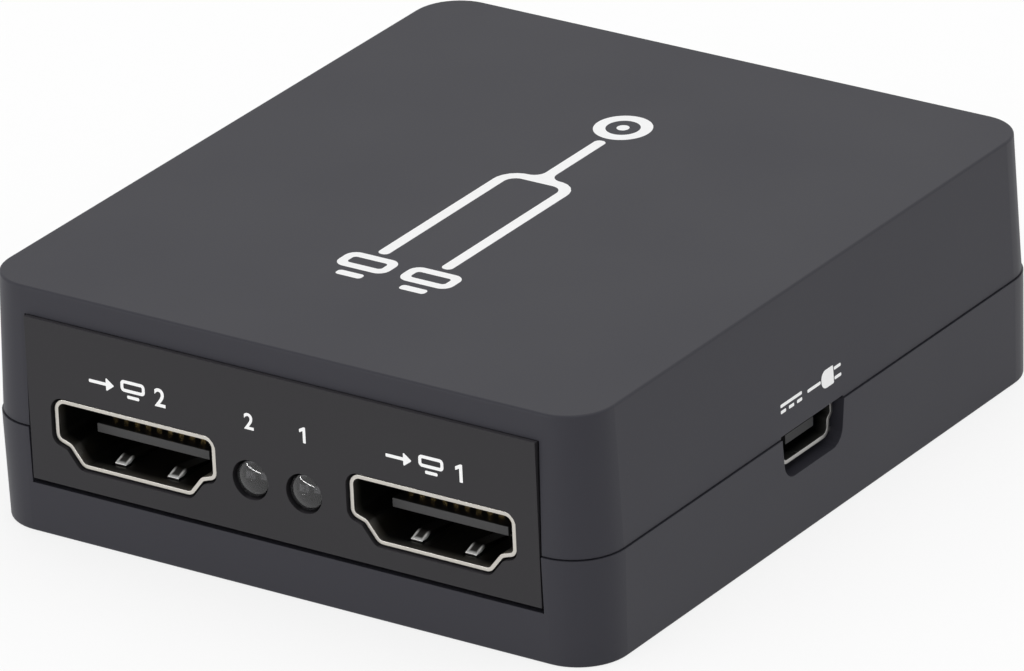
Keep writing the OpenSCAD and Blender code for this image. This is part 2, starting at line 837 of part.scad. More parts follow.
// Leaf spring of the floor wall, cut free on three sides, with its tip towards the mouth
module leaf_spring() {
  crown = sheet + spring_lift;
  tip = crown - spring_dip;
  across_x(spring_width)
    polygon(softened([
      [spring_tip, tip - spring_sheet],
      [spring_crown, crown - spring_sheet],
      [spring_root, sheet - spring_sheet],
      [spring_root + sheet, sheet - spring_sheet],
      [spring_root + sheet, sheet],
      [spring_root, sheet],
      [spring_crown, crown],
      [spring_tip, tip]
    ], [0, crown_radius, 0, 0, 0, 0, crown_radius + spring_sheet, 0]));
}

// Children on the floor wall at both springs and, mirrored, on the ceiling wall
module at_springs() {
  height = mouth_height + 2 * sheet;
  for (side = [-1, 1], flip = [0, 1]) {
    translate([side * spring_offset, 0, shell_rise + flip * height])
      mirror([0, 0, flip])
        children();
  }
}

module receptacle_shell() {
  window = spring_width + 2 * spring_slot;
  leg_x = (mouth_width + sheet) / 2;
  leg_top = mouth_base + side_foot + leg_root;
  shoulder_length = leg_width + 2 * leg_shoulder;
  leg_bottom = -board_thickness - leg_tail;
  color(nickel_colour) {
    difference() {
      along_y(receptacle_length)
        polygon(mouth_outline(sheet));
      translate([0, -past, 0])
        along_y(receptacle_length + 2 * past)
          polygon(mouth_outline(0));
      at_springs() {
        translate([-window / 2, spring_tip - spring_slot, -sheet])
          cube([window, spring_root - spring_tip + spring_slot, 3 * sheet]);
      }
    }
    at_springs()
      leaf_spring();
    for (side = [-1, 1], y = [leg_front, leg_rear]) {
      translate([side * leg_x - sheet / 2, y - leg_width / 2, leg_bottom])
        cube([sheet, leg_width, leg_top - leg_bottom]);
      translate([side * leg_x - sheet / 2, y - shoulder_length / 2, 0])
        cube([sheet, shoulder_length, leg_top]);
    }
  }
}

// Children at each contact of a row, numbered across the receptacle
module contact_row(count, pitch) {
  for (i = [0:count - 1]) {
    translate([(i - (count - 1) / 2) * pitch, 0, 0])
      children();
  }
}

// Slot for a contact through the insulator block, with its floor at the height z
module contact_slot(z) {
  width = contact_width + 2 * contact_clearance;
  translate([-width / 2, block_front - past, z])
    cube([width, receptacle_length, contact_thickness + contact_clearance]);
}

module receptacle_insulator() {
  color(insulator_colour)
    difference() {
      union() {
        translate([0, block_front, 0])
          along_y(receptacle_length - block_front)
            polygon(mouth_outline(-block_clearance));
        translate([-tongue_width / 2, tongue_recess, tongue_bottom])
          cube([tongue_width, block_front - tongue_recess + past, tongue_thickness]);
      }
      contact_row(upper_contacts, contact_pitch)
        contact_slot(tongue_top);
      contact_row(upper_contacts - 1, contact_pitch)
        contact_slot(tongue_bottom - contact_thickness - contact_clearance);
    }
}

// Contact strip with its lower face at the height z, bent down behind the shell to a foot on the board
module contact_strip(z, start, bend) {
  across_x(contact_width)
    polygon([
      [start, z],
      [bend, z],
      [bend, 0],
      [bend + tail_foot, 0],
      [bend + tail_foot, contact_thickness],
      [bend + contact_thickness, contact_thickness],
      [bend + contact_thickness, z + contact_thickness],
      [start, z + contact_thickness]
    ]);
}

module receptacle_contacts() {
  start = tongue_recess + contact_start;
  bend = receptacle_length + tail_gap;
  color(gold_colour) {
    contact_row(upper_contacts, contact_pitch)
      contact_strip(tongue_top, start, bend);
    contact_row(upper_contacts - 1, contact_pitch)
      contact_strip(tongue_bottom - contact_thickness, start, bend);
  }
}

module output_1_shell() { at_output(1) receptacle_shell(); }
module output_1_insulator() { at_output(1) receptacle_insulator(); }
module output_1_contacts() { at_output(1) receptacle_contacts(); }
module output_2_shell() { at_output(-1) receptacle_shell(); }
module output_2_insulator() { at_output(-1) receptacle_insulator(); }
module output_2_contacts() { at_output(-1) receptacle_contacts(); }
module input_shell() { at_input() receptacle_shell(); }
module input_insulator() { at_input() receptacle_insulator(); }
module input_contacts() { at_input() receptacle_contacts(); }

// Power socket

module power_shell() {
  reach = power_floor / 2 + power_sheet;
  foot_y = [power_foot_length / 2 + power_sheet, power_length - power_foot_length / 2 - power_sheet];
  color(nickel_colour)
    at_power() {
      difference() {
        along_y(power_length)
          polygon(power_outline(power_sheet));
        translate([0, -past, 0])
          along_y(power_length + 2 * past)
            polygon(power_outline(0));
      }
      for (side = [-1, 1], y = foot_y) {
        translate([side * (reach + power_foot_width / 2 - 2 * power_sheet), y, power_sheet / 2])
          cube([power_foot_width + 2 * power_sheet, power_foot_length, power_sheet], center = true);
      }
    }
}

module power_insulator() {
  width = contact_width + 2 * contact_clearance;
  tongue_length = power_block_front + past - power_tongue_recess;
  color(insulator_colour)
    at_power()
      difference() {
        union() {
          translate([0, power_block_front, 0])
            along_y(power_length - power_block_front)
              polygon(power_outline(-block_clearance));
          translate([-power_tongue_width / 2, power_tongue_recess, power_tongue_bottom])
            cube([power_tongue_width, tongue_length, power_tongue_thickness]);
        }
        contact_row(power_contact_count, power_contact_pitch)
          translate([-width / 2, power_block_front - past, power_tongue_bottom + power_tongue_thickness])
            cube([width, power_length, contact_thickness + contact_clearance]);
      }
}

module power_contacts() {
  top = power_tongue_bottom + power_tongue_thickness;
  start = power_tongue_recess + contact_start;
  bend = power_length + tail_gap;
  color(gold_colour)
    at_power()
      contact_row(power_contact_count, power_contact_pitch)
        contact_strip(top, start, bend);
}

// Indicators

module indicator_lens() {
  radius = lens_diameter / 2;
  dome_radius = (radius * radius + lens_crown * lens_crown) / (2 * lens_crown);
  color(lens_colour)
    translate([0, lens_recess - panel_face, indicator_z])
      rotate([-90, 0, 0])
        rotate_extrude() {
          intersection() {
            translate([0, dome_radius - lens_crown])
              circle(dome_radius);
            translate([0, -lens_crown])
              square([radius, lens_crown]);
          }
          square([radius, lens_length]);
          translate([0, lens_length - rim_thickness])
            square([radius + lens_rim, rim_thickness]);
        }
}

module indicator_leads() {
  low = board_height - leg_tail;
  color(tin_colour)
    for (side = [-1, 1]) {
      translate([side * lead_pitch / 2 - lead_size / 2, -lens_rear, 0]) {
        translate([0, 0, indicator_z - lead_size / 2])
          cube([lead_size, lead_reach + lead_size, lead_size]);
        translate([0, lead_reach, low])
          cube([lead_size, lead_size, indicator_z - low]);
      }
    }
}

module indicator_1_lens() { at_indicator(1) indicator_lens(); }
module indicator_1_leads() { at_indicator(1) indicator_leads(); }
module indicator_2_lens() { at_indicator(-1) indicator_lens(); }
module indicator_2_leads() { at_indicator(-1) indicator_leads(); }

// Electronics

// Children on the board at a place
module on_board(place) {
  translate([place[0], place[1], board_top])
    children();
}

// Chip body on its standoff
module chip_block(size) {
  translate([-size[0] / 2, -size[1] / 2, chip_standoff])
    cube(size);
}

// Bent lead that leaves a chip's side at the given height, reaching out along Y
module bent_lead(height, width) {
  knee = lead_span - lead_foot;
  across_x(width)
    polygon([
      [0, height],
      [knee, height],
      [knee, lead_sheet],
      [lead_span, lead_sheet],
      [lead_span, 0],
      [knee - lead_sheet, 0],
      [knee - lead_sheet, height - lead_sheet],
      [0, height - lead_sheet]
    ]);
}

module splitter_chip_body() {
  color(chip_colour)
    on_board(chip_place)
      chip_block([chip_side, chip_side, chip_height]);
}

module splitter_chip_leads() {
  color(tin_colour)
    on_board(chip_place)
      for (turn = [0:90:270]) {
        rotate(turn)
          translate([0, chip_side / 2, 0])
            contact_row(chip_leads, chip_lead_pitch)
              bent_lead(chip_standoff + chip_height / 2, chip_lead_width);
      }
}

module memory_chip_body() {
  color(chip_colour)
    on_board(memory_place)
      chip_block(memory_size);
}

module memory_chip_leads() {
  color(tin_colour)
    on_board(memory_place)
      both_ends()
        translate([0, memory_size[1] / 2, 0])
          contact_row(memory_leads, memory_lead_pitch)
            bent_lead(chip_standoff + memory_size[2] / 2, contact_width);
}

module regulator_body() {
  color(chip_colour)
    on_board(regulator_place)
      chip_block(regulator_size);
}

module regulator_leads() {
  height = chip_standoff + regulator_size[2] / 2;
  color(tin_colour)
    on_board(regulator_place) {
      translate([0, regulator_size[1] / 2, 0])
        bent_lead(height, regulator_tab);
      rotate(180)
        translate([0, regulator_size[1] / 2, 0])
          contact_row(regulator_lead_count, regulator_pitch)
            bent_lead(height, regulator_lead_width);
    }
}

module power_inductor() {
  color(chip_colour)
    on_board(inductor_place) {
      translate([-inductor_size[0] / 2, -inductor_size[1] / 2, 0])
        cube([inductor_size[0], inductor_size[1], inductor_flange]);
      cylinder(d = inductor_winding, h = inductor_size[2]);
      translate([0, 0, inductor_size[2] - inductor_flange])
        cylinder(d = inductor_cap, h = inductor_flange);
    }
}

module crystal() {
  color(tin_colour)
    on_board(crystal_place) {
      linear_extrude(crystal_rim)
        rounded_plate(crystal_size[0], crystal_size[1], crystal_rim);
      linear_extrude(crystal_size[2])
        rounded_plate(crystal_size[0] - 2 * crystal_rim, crystal_size[1] - 2 * crystal_rim, crystal_rim);
    }
}

module filter_capacitors() {
  can = can_diameter - 2 * can_inset;
  color(tin_colour)
    for (i = [0, 1]) {
      on_board([can_place[0], can_place[1] + i * can_pitch]) {
        translate([-can_diameter / 2, -can_diameter / 2, 0])
          cube([can_diameter, can_diameter, can_base]);
        cylinder(d = can - 2 * can_groove, h = can_height);
        translate([0, 0, can_base + can_groove_width])
          cylinder(d = can, h = can_height - can_base - can_groove_width);
      }
    }
}

// Chip resistor or capacitor with slightly thicker metal ends, along X
module chip_part(size) {
  translate([0, 0, (size[2] - end_sheet) / 2])
    cube([size[0], size[1] - 2 * end_sheet, size[2] - end_sheet], center = true);
  for (side = [-1, 1]) {
    translate([side * (size[0] - end_cap) / 2, 0, size[2] / 2])
      cube([end_cap, size[1], size[2]], center = true);
  }
}

module chip_capacitors() {
  color(ceramic_colour)
    on_board(chip_place)
      for (turn = [0:90:270]) {
        rotate(turn)
          translate([0, capacitor_reach, 0])
            contact_row(capacitor_count, capacitor_pitch)
              chip_part(capacitor_size);
      }
}

module chip_resistors() {
  color(chip_colour)
    at_every_receptacle()
      translate([0, resistor_y, 0])
        contact_row(resistor_count, resistor_pitch)
          rotate(90)
            chip_part(resistor_size);
}

module surge_arrays() {
  color(chip_colour)
    at_every_receptacle()
      for (side = [-1, 1]) {
        translate([side * surge_offset - surge_size[0] / 2, surge_y - surge_size[1] / 2, 0])
          cube(surge_size);
      }
}

top_cover();
bottom_cover();
front_panel();
rear_panel();
case_screws();
main_board();
output_1_shell();
output_1_insulator();
output_1_contacts();
output_2_shell();
output_2_insulator();
output_2_contacts();
input_shell();
input_insulator();
input_contacts();
power_shell();
power_insulator();
power_contacts();
indicator_1_lens();
indicator_1_leads();
indicator_2_lens();
indicator_2_leads();
splitter_chip_body();
splitter_chip_leads();
memory_chip_body();
memory_chip_leads();
regulator_body();
regulator_leads();
power_inductor();
crystal();
filter_capacitors();
chip_capacitors();
chip_resistors();
surge_arrays();
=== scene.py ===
"""One-to-two video splitter: finishes, prints and small details around its solids."""

import math

import bmesh
import bpy
from bpy.props import FloatProperty, FloatVectorProperty, PointerProperty
from bpy.types import Operator, Panel, PropertyGroup
from mathutils import Matrix, Vector
from mathutils.bvhtree import BVHTree


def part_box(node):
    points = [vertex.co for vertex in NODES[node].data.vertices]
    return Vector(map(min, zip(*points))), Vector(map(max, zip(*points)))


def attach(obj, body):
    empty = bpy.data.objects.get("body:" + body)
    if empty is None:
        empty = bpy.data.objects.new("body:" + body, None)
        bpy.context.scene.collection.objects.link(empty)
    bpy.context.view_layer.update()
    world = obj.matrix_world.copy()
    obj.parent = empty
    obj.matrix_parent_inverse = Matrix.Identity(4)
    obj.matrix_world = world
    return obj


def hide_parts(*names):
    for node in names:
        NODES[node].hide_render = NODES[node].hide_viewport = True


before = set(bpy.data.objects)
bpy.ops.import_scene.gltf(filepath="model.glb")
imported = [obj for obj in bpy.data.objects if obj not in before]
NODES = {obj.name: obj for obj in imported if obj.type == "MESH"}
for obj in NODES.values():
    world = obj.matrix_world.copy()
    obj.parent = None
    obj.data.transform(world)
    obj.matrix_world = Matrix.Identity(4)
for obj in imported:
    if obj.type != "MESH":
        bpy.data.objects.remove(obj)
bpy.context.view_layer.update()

bl_info = {
    "name": "Video Splitter",
    "version": (1, 0, 0),
    "blender": (4, 5, 0),
    "location": "3D View > Sidebar > Splitter",
    "description": "Finishes, prints and small details of a one-to-two video splitter",
    "category": "Object",
}

MM = 0.001
BODY = "root"
RECEPTACLES = ("output_1", "output_2", "input")
OUTPUTS = {"output_1": "1", "output_2": "2"}
INDICATORS = {"indicator_1": "1", "indicator_2": "2"}
SHELLS = [name + "_shell" for name in RECEPTACLES]
CONTACTS = [name + "_contacts" for name in (*RECEPTACLES, "power")]
CHIP_LEADS = ["splitter_chip_leads", "memory_chip_leads", "regulator_leads"]
LAMP_LEADS = [name + "_leads" for name in INDICATORS]

# Points of a mesh that are closer than this are one point
SAME_POINT = 0.0005 * MM
# Points of a node that are closer than this, seen from above, are on one pin
ONE_PIN = 1.7 * MM
# Points less than this over the board are on the underside of a foot
FOOT_FLAT = 0.01 * MM
# Sides of a turned shape, and the bend from which an edge is shaded sharp
ROUND_SIDES = 32
SHARP_BEND = math.radians(40)
# Height over a face from which a print is laid on it
LAY_FROM = 5 * MM
# Stops for the part of a normal along an axis, from a slanted face to one that looks squarely that way
SQUARELY = ((0.9, 0.0), (0.97, 1.0))


# Settings


def number(description, default, unit="NONE"):
    """A plain setting."""
    return FloatProperty(description=description, default=default, unit=unit)


def length(description, default):
    """A length setting, given in millimetres."""
    kind = {"precision": 5, "subtype": "DISTANCE", "unit": "LENGTH"}
    return FloatProperty(description=description, default=default * MM, **kind)


def angle(description, default):
    """An angle setting, given in degrees."""
    kind = {"subtype": "ANGLE", "unit": "ROTATION"}
    return FloatProperty(description=description, default=math.radians(default), **kind)


def share(description, default):
    """A setting from 0 to 1."""
    kind = {"min": 0, "max": 1, "subtype": "FACTOR"}
    return FloatProperty(description=description, default=default, **kind)


def colour(description, default):
    """A colour setting, in linear red, green and blue."""
    kind = {"min": 0, "max": 1, "subtype": "COLOR"}
    return FloatVectorProperty(description=description, default=default, **kind)


def spot(description, default):
    """A place setting, in metres."""
    return FloatVectorProperty(description=description, default=default, subtype="XYZ")


class CaseFinish(PropertyGroup):
    """Colours and grain of the mouldings."""

    cover: colour("Colour of both covers", (0.0262, 0.0258, 0.0335))
    panel: colour("Colour of the socket panels", (0.0194, 0.0184, 0.0208))
    tongue: colour("Colour of the video receptacles' mouldings", (0.056, 0.056, 0.057))
    insulator: colour("Colour of the power socket's moulding", (0.02, 0.02, 0.021))
    roughness: share("Mean roughness of the covers", 0.5)
    insert_roughness: share("Mean roughness of the receptacles' mouldings", 0.45)
    gloss: share("Specular level of the mouldings", 0.25)
    grain: length("Size of the moulded grain", 0.16)
    insert_grain: length("Size of the grain of the receptacles' mouldings", 0.1)
    grain_depth: length("Depth of the moulded grain", 0.006)
    edge: length("Softening of the sharp edges", 0.05)
    # Painted light: factor for the lighter tone given to the panels' upward faces
    rubbed: number("Tone of the panels' upper edges against the panels", 2.2)


class MetalFinish(PropertyGroup):
    """Colours of the metal pieces."""

    nickel: colour("Colour of the plated shells", (0.76, 0.73, 0.67))
    dark_nickel: colour("Colour of the power socket's shell", (0.52, 0.51, 0.49))
    # Painted highlight: colour given to the leaf springs' tips and sides
    spring: colour("Colour of the polished parts of the leaf springs", (0.92, 0.92, 0.9))
    gold: colour("Colour of the contacts", (0.76, 0.53, 0.2))
    tin: colour("Colour of the tinned leads and solder", (0.62, 0.62, 0.63))
    zinc: colour("Colour of the screws", (0.42, 0.43, 0.45))
    aluminium: colour("Colour of the cans", (0.68, 0.68, 0.69))
    edge: length("Rounding that the sheet's cut edges show", 0.07)
    mouth: length("Floor of a video receptacle's mouth below the top of its shell", 4.9)
    spring_rise: length("Height of the leaf springs over that floor", 0.9)
    spring_offset: length("Middle of a leaf spring from the middle of its mouth", 2.4)
    spring_width: length("Width of a leaf spring", 1)


class BoardFinish(PropertyGroup):
    """Colours of the board and what it carries."""

    mask: colour("Colour of the board", (0.011, 0.016, 0.014))
    epoxy: colour("Colour of the chip bodies", (0.017, 0.017, 0.018))
    ferrite: colour("Colour of the power inductor", (0.03, 0.03, 0.032))
    ceramic: colour("Colour of the chip capacitors", (0.33, 0.2, 0.11))
    lens: colour("Tint of the indicator lenses", (0.12, 0.12, 0.125))


class ScrewSizes(PropertyGroup):
    """Sizes of the case screws."""

    head: length("Diameter of the head", 4.4)
    head_height: length("Height of the head", 1.7)
    thread: length("Diameter over the thread", 2.5)
    thread_depth: length("Height of the thread's ridge", 0.3)
    pitch: length("Pitch of the thread", 0.9)
    cross_length: length("Length of an arm of the driver cross, tip to tip", 2.6)
    cross_width: length("Width of the driver cross", 0.6)
    cross_depth: length("Depth of the driver cross", 0.9)


class SolderSizes(PropertyGroup):
    """Sizes of the soldered joints."""

    pad: length("Radius of solder round a pin beyond the pin", 0.45)
    cone: length("Height of the solder round a pin", 0.55)
    spread: length("Solder beyond the edge of a flat foot", 0.12)
    swell: length("Height of the solder over a flat foot", 0.2)
    cap: length("Length of a tinned end", 0.3)
    cap_skin: length("Thickness of the tin over an end", 0.012)


class PrintSizes(PropertyGroup):
    """Sizes and colour of the printed signs."""

    ink: colour("Colour of the prints", (0.93, 0.93, 0.93))
    thickness: length("Thickness of the ink", 0.006)
    stroke: length("Width of a line in the small signs", 0.26)
    numeral: length("Height of a numeral over an output", 1.45)
    label_rise: length("Middle of a label over the top of its receptacle", 2.35)
    arrow: length("Length of a label's arrow", 2.3)
    arrow_head: length("Length of the arrow's head", 0.75)
    arrow_shift: length("Middle of the arrow from the middle of its label", -2.6)
    screen: length("Width of a label's screen", 2.2)
    screen_shift: length("Middle of the screen from the middle of its label", 0.25)
    output_shift: length("Middle of the numeral from the middle of its label", 2.7)
    lamp_numeral: share("Height of a lamp's numeral against an output's", 0.88)
    numeral_rise: length("Middle of a lamp's numeral over the middle of its lens", 4.8)
    numeral_shift: length("Middle of a lamp's numeral to the right of its lens", 0.15)
    side_rise: length("Middle of the side sign over the middle of the power socket", 3.25)
    supply: length("Length of the sign for direct current", 2.9)
    supply_height: length("Height of the sign for direct current", 0.75)
    supply_shift: length("Middle of that sign from the power socket", -2.6)
    plug: length("Length of the plug sign", 4.6)
    plug_shift: length("Middle of the plug sign from the power socket", 1.9)
    top_stroke: length("Width of a line in the sign on the roof", 0.95)
    top_length: length("Length of the sign on the roof", 35)


class StageSettings(PropertyGroup):
    """Camera, floor and lights."""

    azimuth: angle("Turn of the camera round the box, from its front", 35.104)
    elevation: angle("Height angle of the camera", 24.517)
    roll: angle("Roll of the camera", -2.61)
    distance: length("Camera to target", 825.28)
    focal: number("Focal length in millimetres", 386.53)
    sensor: number("Width of the sensor in millimetres", 36)
    target: spot("Point at the middle of the view", (0.00121, -0.00242, 0.01))
    floor: length("Radius of the floor", 3000)
    paper: colour("Colour of the floor", (0.96, 0.96, 0.96))
    shadow: share("Part of the floor's own shading that shows", 0.22)
    sky: share("Brightness of the surroundings as a light", 0.8)
    top_light: number("Power of the light above", 2.2, "POWER")
    top_size: length("Side of the light above", 900)
    top_place: spot("Middle of the light above", (0.15, 0.1, 0.9))
    top_aim: spot("Point that the light above looks at", (0, 0, 0.01))
    strip: number("Power of the low strip that the lenses reflect", 2.1, "POWER")
    strip_length: length("Length of the strip light", 880)
    strip_width: length("Width of the strip light", 32)
    strip_place: spot("Middle of the strip light", (-0.395, -0.9, 0.094))
    strip_aim: spot("Point that the strip light looks at", (0, -0.031, 0.009))
    strip_tilt: angle("Turn of the strip light about its own beam", -9.5)


class SplitterSettings(PropertyGroup):
    """All settings of the splitter."""

    case: PointerProperty(type=CaseFinish)
    metal: PointerProperty(type=MetalFinish)
    board: PointerProperty(type=BoardFinish)
    screws: PointerProperty(type=ScrewSizes)
    solder: PointerProperty(type=SolderSizes)
    prints: PointerProperty(type=PrintSizes)
    stage: PointerProperty(type=StageSettings)


# Node trees written as expressions


class Signal:
    """A node socket that takes part in an expression: each operator adds one Math node."""

    def __init__(self, tree, socket):
        self.tree = tree
        self.socket = socket

    def math(self, operation, first, second=0.0):
        """A Math node on two values."""
        return self.tree.node("ShaderNodeMath", {"operation": operation}, {0: first, 1: second})

    def __add__(self, other):
        return self.math("ADD", self, other)

    def __radd__(self, other):
        return self.math("ADD", other, self)

    def __sub__(self, other):
        return self.math("SUBTRACT", self, other)

    def __rsub__(self, other):
        return self.math("SUBTRACT", other, self)

    def __mul__(self, other):
        return self.math("MULTIPLY", self, other)

    def __rmul__(self, other):
        return self.math("MULTIPLY", other, self)

    def __truediv__(self, other):
        return self.math("DIVIDE", self, other)

    def __pow__(self, other):
        return self.math("POWER", self, other)

    def __abs__(self):
        return self.math("ABSOLUTE", self)

    def least(self, other):
        """The smaller of two signals."""
        return self.math("MINIMUM", self, other)

    def most(self, other):
        """The larger of two signals."""
        return self.math("MAXIMUM", self, other)

    def above(self, level):
        """1 where the signal is over a level, and 0 elsewhere."""
        return self.math("GREATER_THAN", self, level)

    def below(self, level):
        """1 where the signal is under a level, and 0 elsewhere."""
        return self.math("LESS_THAN", self, level)

    def held(self):
        """The signal held between 0 and 1."""
        return self.tree.node("ShaderNodeClamp", None, {"Value": self})


class Nodes:
    """A node tree whose nodes all come from one method."""

    def __init__(self, tree):
        self.tree = tree

    def node(self, kind, settings=None, sockets=None, output=0):
        """Adds a node: its settings first, then the values or links of its sockets. Gives one output."""
        node = self.tree.nodes.new(kind)
        for key, value in (settings or {}).items():
            if key == "stops":
                self.set_stops(node.color_ramp.elements, value)
            else:
                setattr(node, key, value)
        for key, value in (sockets or {}).items():
            self.feed(node.inputs[key], value)
        return Signal(self, node.outputs[output]) if node.outputs else node

    def feed(self, socket, value):
        """Links a signal, or each of a list of signals, to a socket, or sets the socket's value."""
        for item in value if isinstance(value, list) else [value]:
            if isinstance(item, Signal):
                self.tree.links.new(item.socket, socket)
            else:
                socket.default_value = item

    @staticmethod
    def set_stops(elements, stops):
        """Sets the places and grey levels of a ramp."""
        while len(elements) < len(stops):
            elements.new(1.0)
        for element, (place, level) in zip(elements, stops):
            element.position = place
            element.color = (level, level, level, 1)


class Finish(Nodes):
    """A procedural material on one Principled shader."""

    def __init__(self, name):
        self.material = bpy.data.materials.new(name)
        self.material.use_nodes = True
        super().__init__(self.material.node_tree)
        self.shader = self.tree.nodes["Principled BSDF"]
        self.place = self.node("ShaderNodeTexCoord", output="Object")

    def set(self, **sockets):
        """Sets or links the shader's sockets, named with underscores for spaces, and gives the material."""
        for name, value in sockets.items():
            self.feed(self.shader.inputs[name.replace("_", " ")], value)
        return self.material

    def stretched(self, x, y, z):
        """Object coordinates with one factor for each axis."""
        return self.node("ShaderNodeVectorMath", {"operation": "MULTIPLY"}, {0: self.place, 1: (x, y, z)})

    def noise(self, size, detail=2.0, place=None):
        """Noise from 0 to 1 with spots of about the given size."""
        sockets = {"Vector": place or self.place, "Scale": 1 / size, "Detail": detail}
        return self.node("ShaderNodeTexNoise", {"normalize": True}, sockets)

    def stops(self, signal, *stops):
        """Signal passed through a ramp of grey stops."""
        return self.node("ShaderNodeValToRGB", {"stops": stops}, {"Fac": signal})

    def blend(self, factor, first, second):
        """Mix of two colours."""
        sockets = {0: factor, 6: opaque(first), 7: opaque(second)}
        return self.node("ShaderNodeMix", {"data_type": "RGBA"}, sockets, output=2)

    def true_normal(self):
        """Normal of the face itself."""
        return self.node("ShaderNodeNewGeometry", output="Normal")

    def softened(self, radius):
        """Normal that rounds the sharp edges."""
        return self.node("ShaderNodeBevel", {"samples": 6}, {"Radius": radius})

    def edges(self, normal):
        """Mask of the sharp edges, from a normal that rounds them."""
        sockets = {0: normal, 1: self.true_normal()}
        return 1 - self.node("ShaderNodeVectorMath", {"operation": "DOT_PRODUCT"}, sockets, output="Value")

    def bump(self, height, depth, strength, normal=None):
        """Normal of a relief."""
        sockets = {"Height": height, "Distance": depth, "Strength": strength}
        if normal:
            sockets["Normal"] = normal
        return self.node("ShaderNodeBump", None, sockets)

    def axis(self, index, vector=None):
        """One coordinate of the place, or of another vector."""
        return self.node("ShaderNodeSeparateXYZ", None, {0: vector or self.place}, output=index)


class Recipe(Nodes):
    """A geometry node group with named sizes, whose result is one plain mesh of one finish."""

    def __init__(self, name, *sizes):
        super().__init__(bpy.data.node_groups.new(name, "GeometryNodeTree"))
        sockets = [("Places", "NodeSocketGeometry"), ("Finish", "NodeSocketMaterial")]
        sockets += [(size, "NodeSocketFloat") for size in sizes]
        for label, kind in sockets:
            self.tree.interface.new_socket(label, in_out="INPUT", socket_type=kind)
        self.tree.interface.new_socket("Result", in_out="OUTPUT", socket_type="NodeSocketGeometry")
        group = self.tree.nodes.new("NodeGroupInput")
        self.inputs = {socket.name: Signal(self, socket) for socket in group.outputs}

    def vector(self, x=0.0, y=0.0, z=0.0):
        """Vector of three values."""
        return self.node("ShaderNodeCombineXYZ", None, {0: x, 1: y, 2: z})

    def circle(self, sides):
        """Outline of a unit circle with a number of sides."""
        return self.node("GeometryNodeCurvePrimitiveCircle", None, {"Resolution": sides, "Radius": 1.0})

    def swept(self, path, outline, scale):
        """Solid that an outline sweeps along a path."""
        sockets = {0: path, 1: outline, "Scale": scale, "Fill Caps": True}
        return self.node("GeometryNodeCurveToMesh", None, sockets)

    def turned(self, low, high, points, radius):
        """Round solid between two heights, whose radius is a function of the way along it."""
        ends = {0: self.vector(z=low), 1: self.vector(z=high)}
        line = self.node("GeometryNodeCurvePrimitiveLine", None, ends)
        line = self.node("GeometryNodeResampleCurve", None, {0: line, "Count": points})
        way = self.node("GeometryNodeSplineParameter")
        return self.swept(line, self.circle(ROUND_SIDES), radius(way))

    def boolean(self, operation, sockets):
        """Exact union or difference of solids."""
        settings = {"operation": operation, "solver": "EXACT"}
        return self.node("GeometryNodeMeshBoolean", settings, sockets)

    def own_size(self):
        """Size that each place carries."""
        return self.node("GeometryNodeInputNamedAttribute", {"data_type": "FLOAT_VECTOR"}, {0: "size"})

    def finish(self, shape, scale=(1, 1, 1)):
        """Puts the shape at every place, as real faces with the finish, and gives the recipe."""
        sockets = {0: self.inputs["Places"], "Instance": shape, "Scale": scale}
        copies = self.node("GeometryNodeInstanceOnPoints", None, sockets)
        mesh = self.node("GeometryNodeRealizeInstances", None, {0: copies})
        mesh = self.node("GeometryNodeSetShadeSmooth", {"domain": "FACE"}, {0: mesh, "Shade Smooth": True})
        bend = self.node("GeometryNodeInputMeshEdgeAngle")
        sharp = self.node("FunctionNodeCompare", {"operation": "GREATER_THAN"}, {0: bend, 1: SHARP_BEND})
        sockets = {0: mesh, "Selection": sharp, "Shade Smooth": False}
        mesh = self.node("GeometryNodeSetShadeSmooth", {"domain": "EDGE"}, sockets)
        mesh = self.node("GeometryNodeSetMaterial", None, {0: mesh, "Material": self.inputs["Finish"]})
        self.node("NodeGroupOutput", None, {0: mesh})
        return self

    def piece(self, name, places, finish, scales=None, **sizes):
        """Runs the recipe on a list of places and gives the piece."""
        mesh = bpy.data.meshes.new(name)
        mesh.from_pydata(places, [], [])
        if scales:
            sizes_at = mesh.attributes.new("size", "FLOAT_VECTOR", "POINT")
            sizes_at.data.foreach_set("vector", [value for scale in scales for value in scale])
        holder = placed(name + "_places", mesh)
        modifier = holder.modifiers.new("Recipe", "NODES")
        modifier.node_group = self.tree
        values = {label.replace("_", " ").capitalize(): value for label, value in sizes.items()}
        values["Finish"] = finish
        for socket in self.tree.interface.items_tree:
            if socket.name in values:
                modifier[socket.identifier] = values[socket.name]
        return added(name, evaluated(holder))


def opaque(value):
    """A colour with full alpha, or a signal as it is."""
    return value if isinstance(value, Signal) else (*value, 1)


def scaled(value, factor):
    """A colour made lighter or darker."""
    return tuple(min(1, part * factor) for part in value)


# Pieces


def evaluated(holder):
    """Plain mesh of an object with its modifiers applied. The object is removed."""
    graph = bpy.context.evaluated_depsgraph_get()
    mesh = bpy.data.meshes.new_from_object(holder.evaluated_get(graph), depsgraph=graph)
    bpy.data.objects.remove(holder)
    return mesh


def drawn(shape, mesh):
    """Mesh that takes the faces of a finished bmesh, which is freed."""
    shape.to_mesh(mesh)
    shape.free()
    return mesh


def placed(name, data):
    """A new object in the scene."""
    item = bpy.data.objects.new(name, data)
    bpy.context.scene.collection.objects.link(item)
    return item


def added(name, mesh, finish=None):
    """A new piece with its place in its mesh."""
    mesh.name = name
    if finish:
        mesh.materials.clear()
        mesh.materials.append(finish)
    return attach(placed(name, mesh), BODY)


def dress(finish, *nodes):
    """Gives CAD nodes a finish."""
    for node in nodes:
        NODES[node].data.materials.clear()
        NODES[node].data.materials.append(finish)


def middle(node):
    """Middle of a CAD node's box."""
    low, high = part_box(node)
    return (low + high) / 2


def extent(points):
    """Lowest and highest corner of a list of points."""
    return [Vector([pick(point[i] for point in points) for i in range(3)]) for pick in (min, max)]


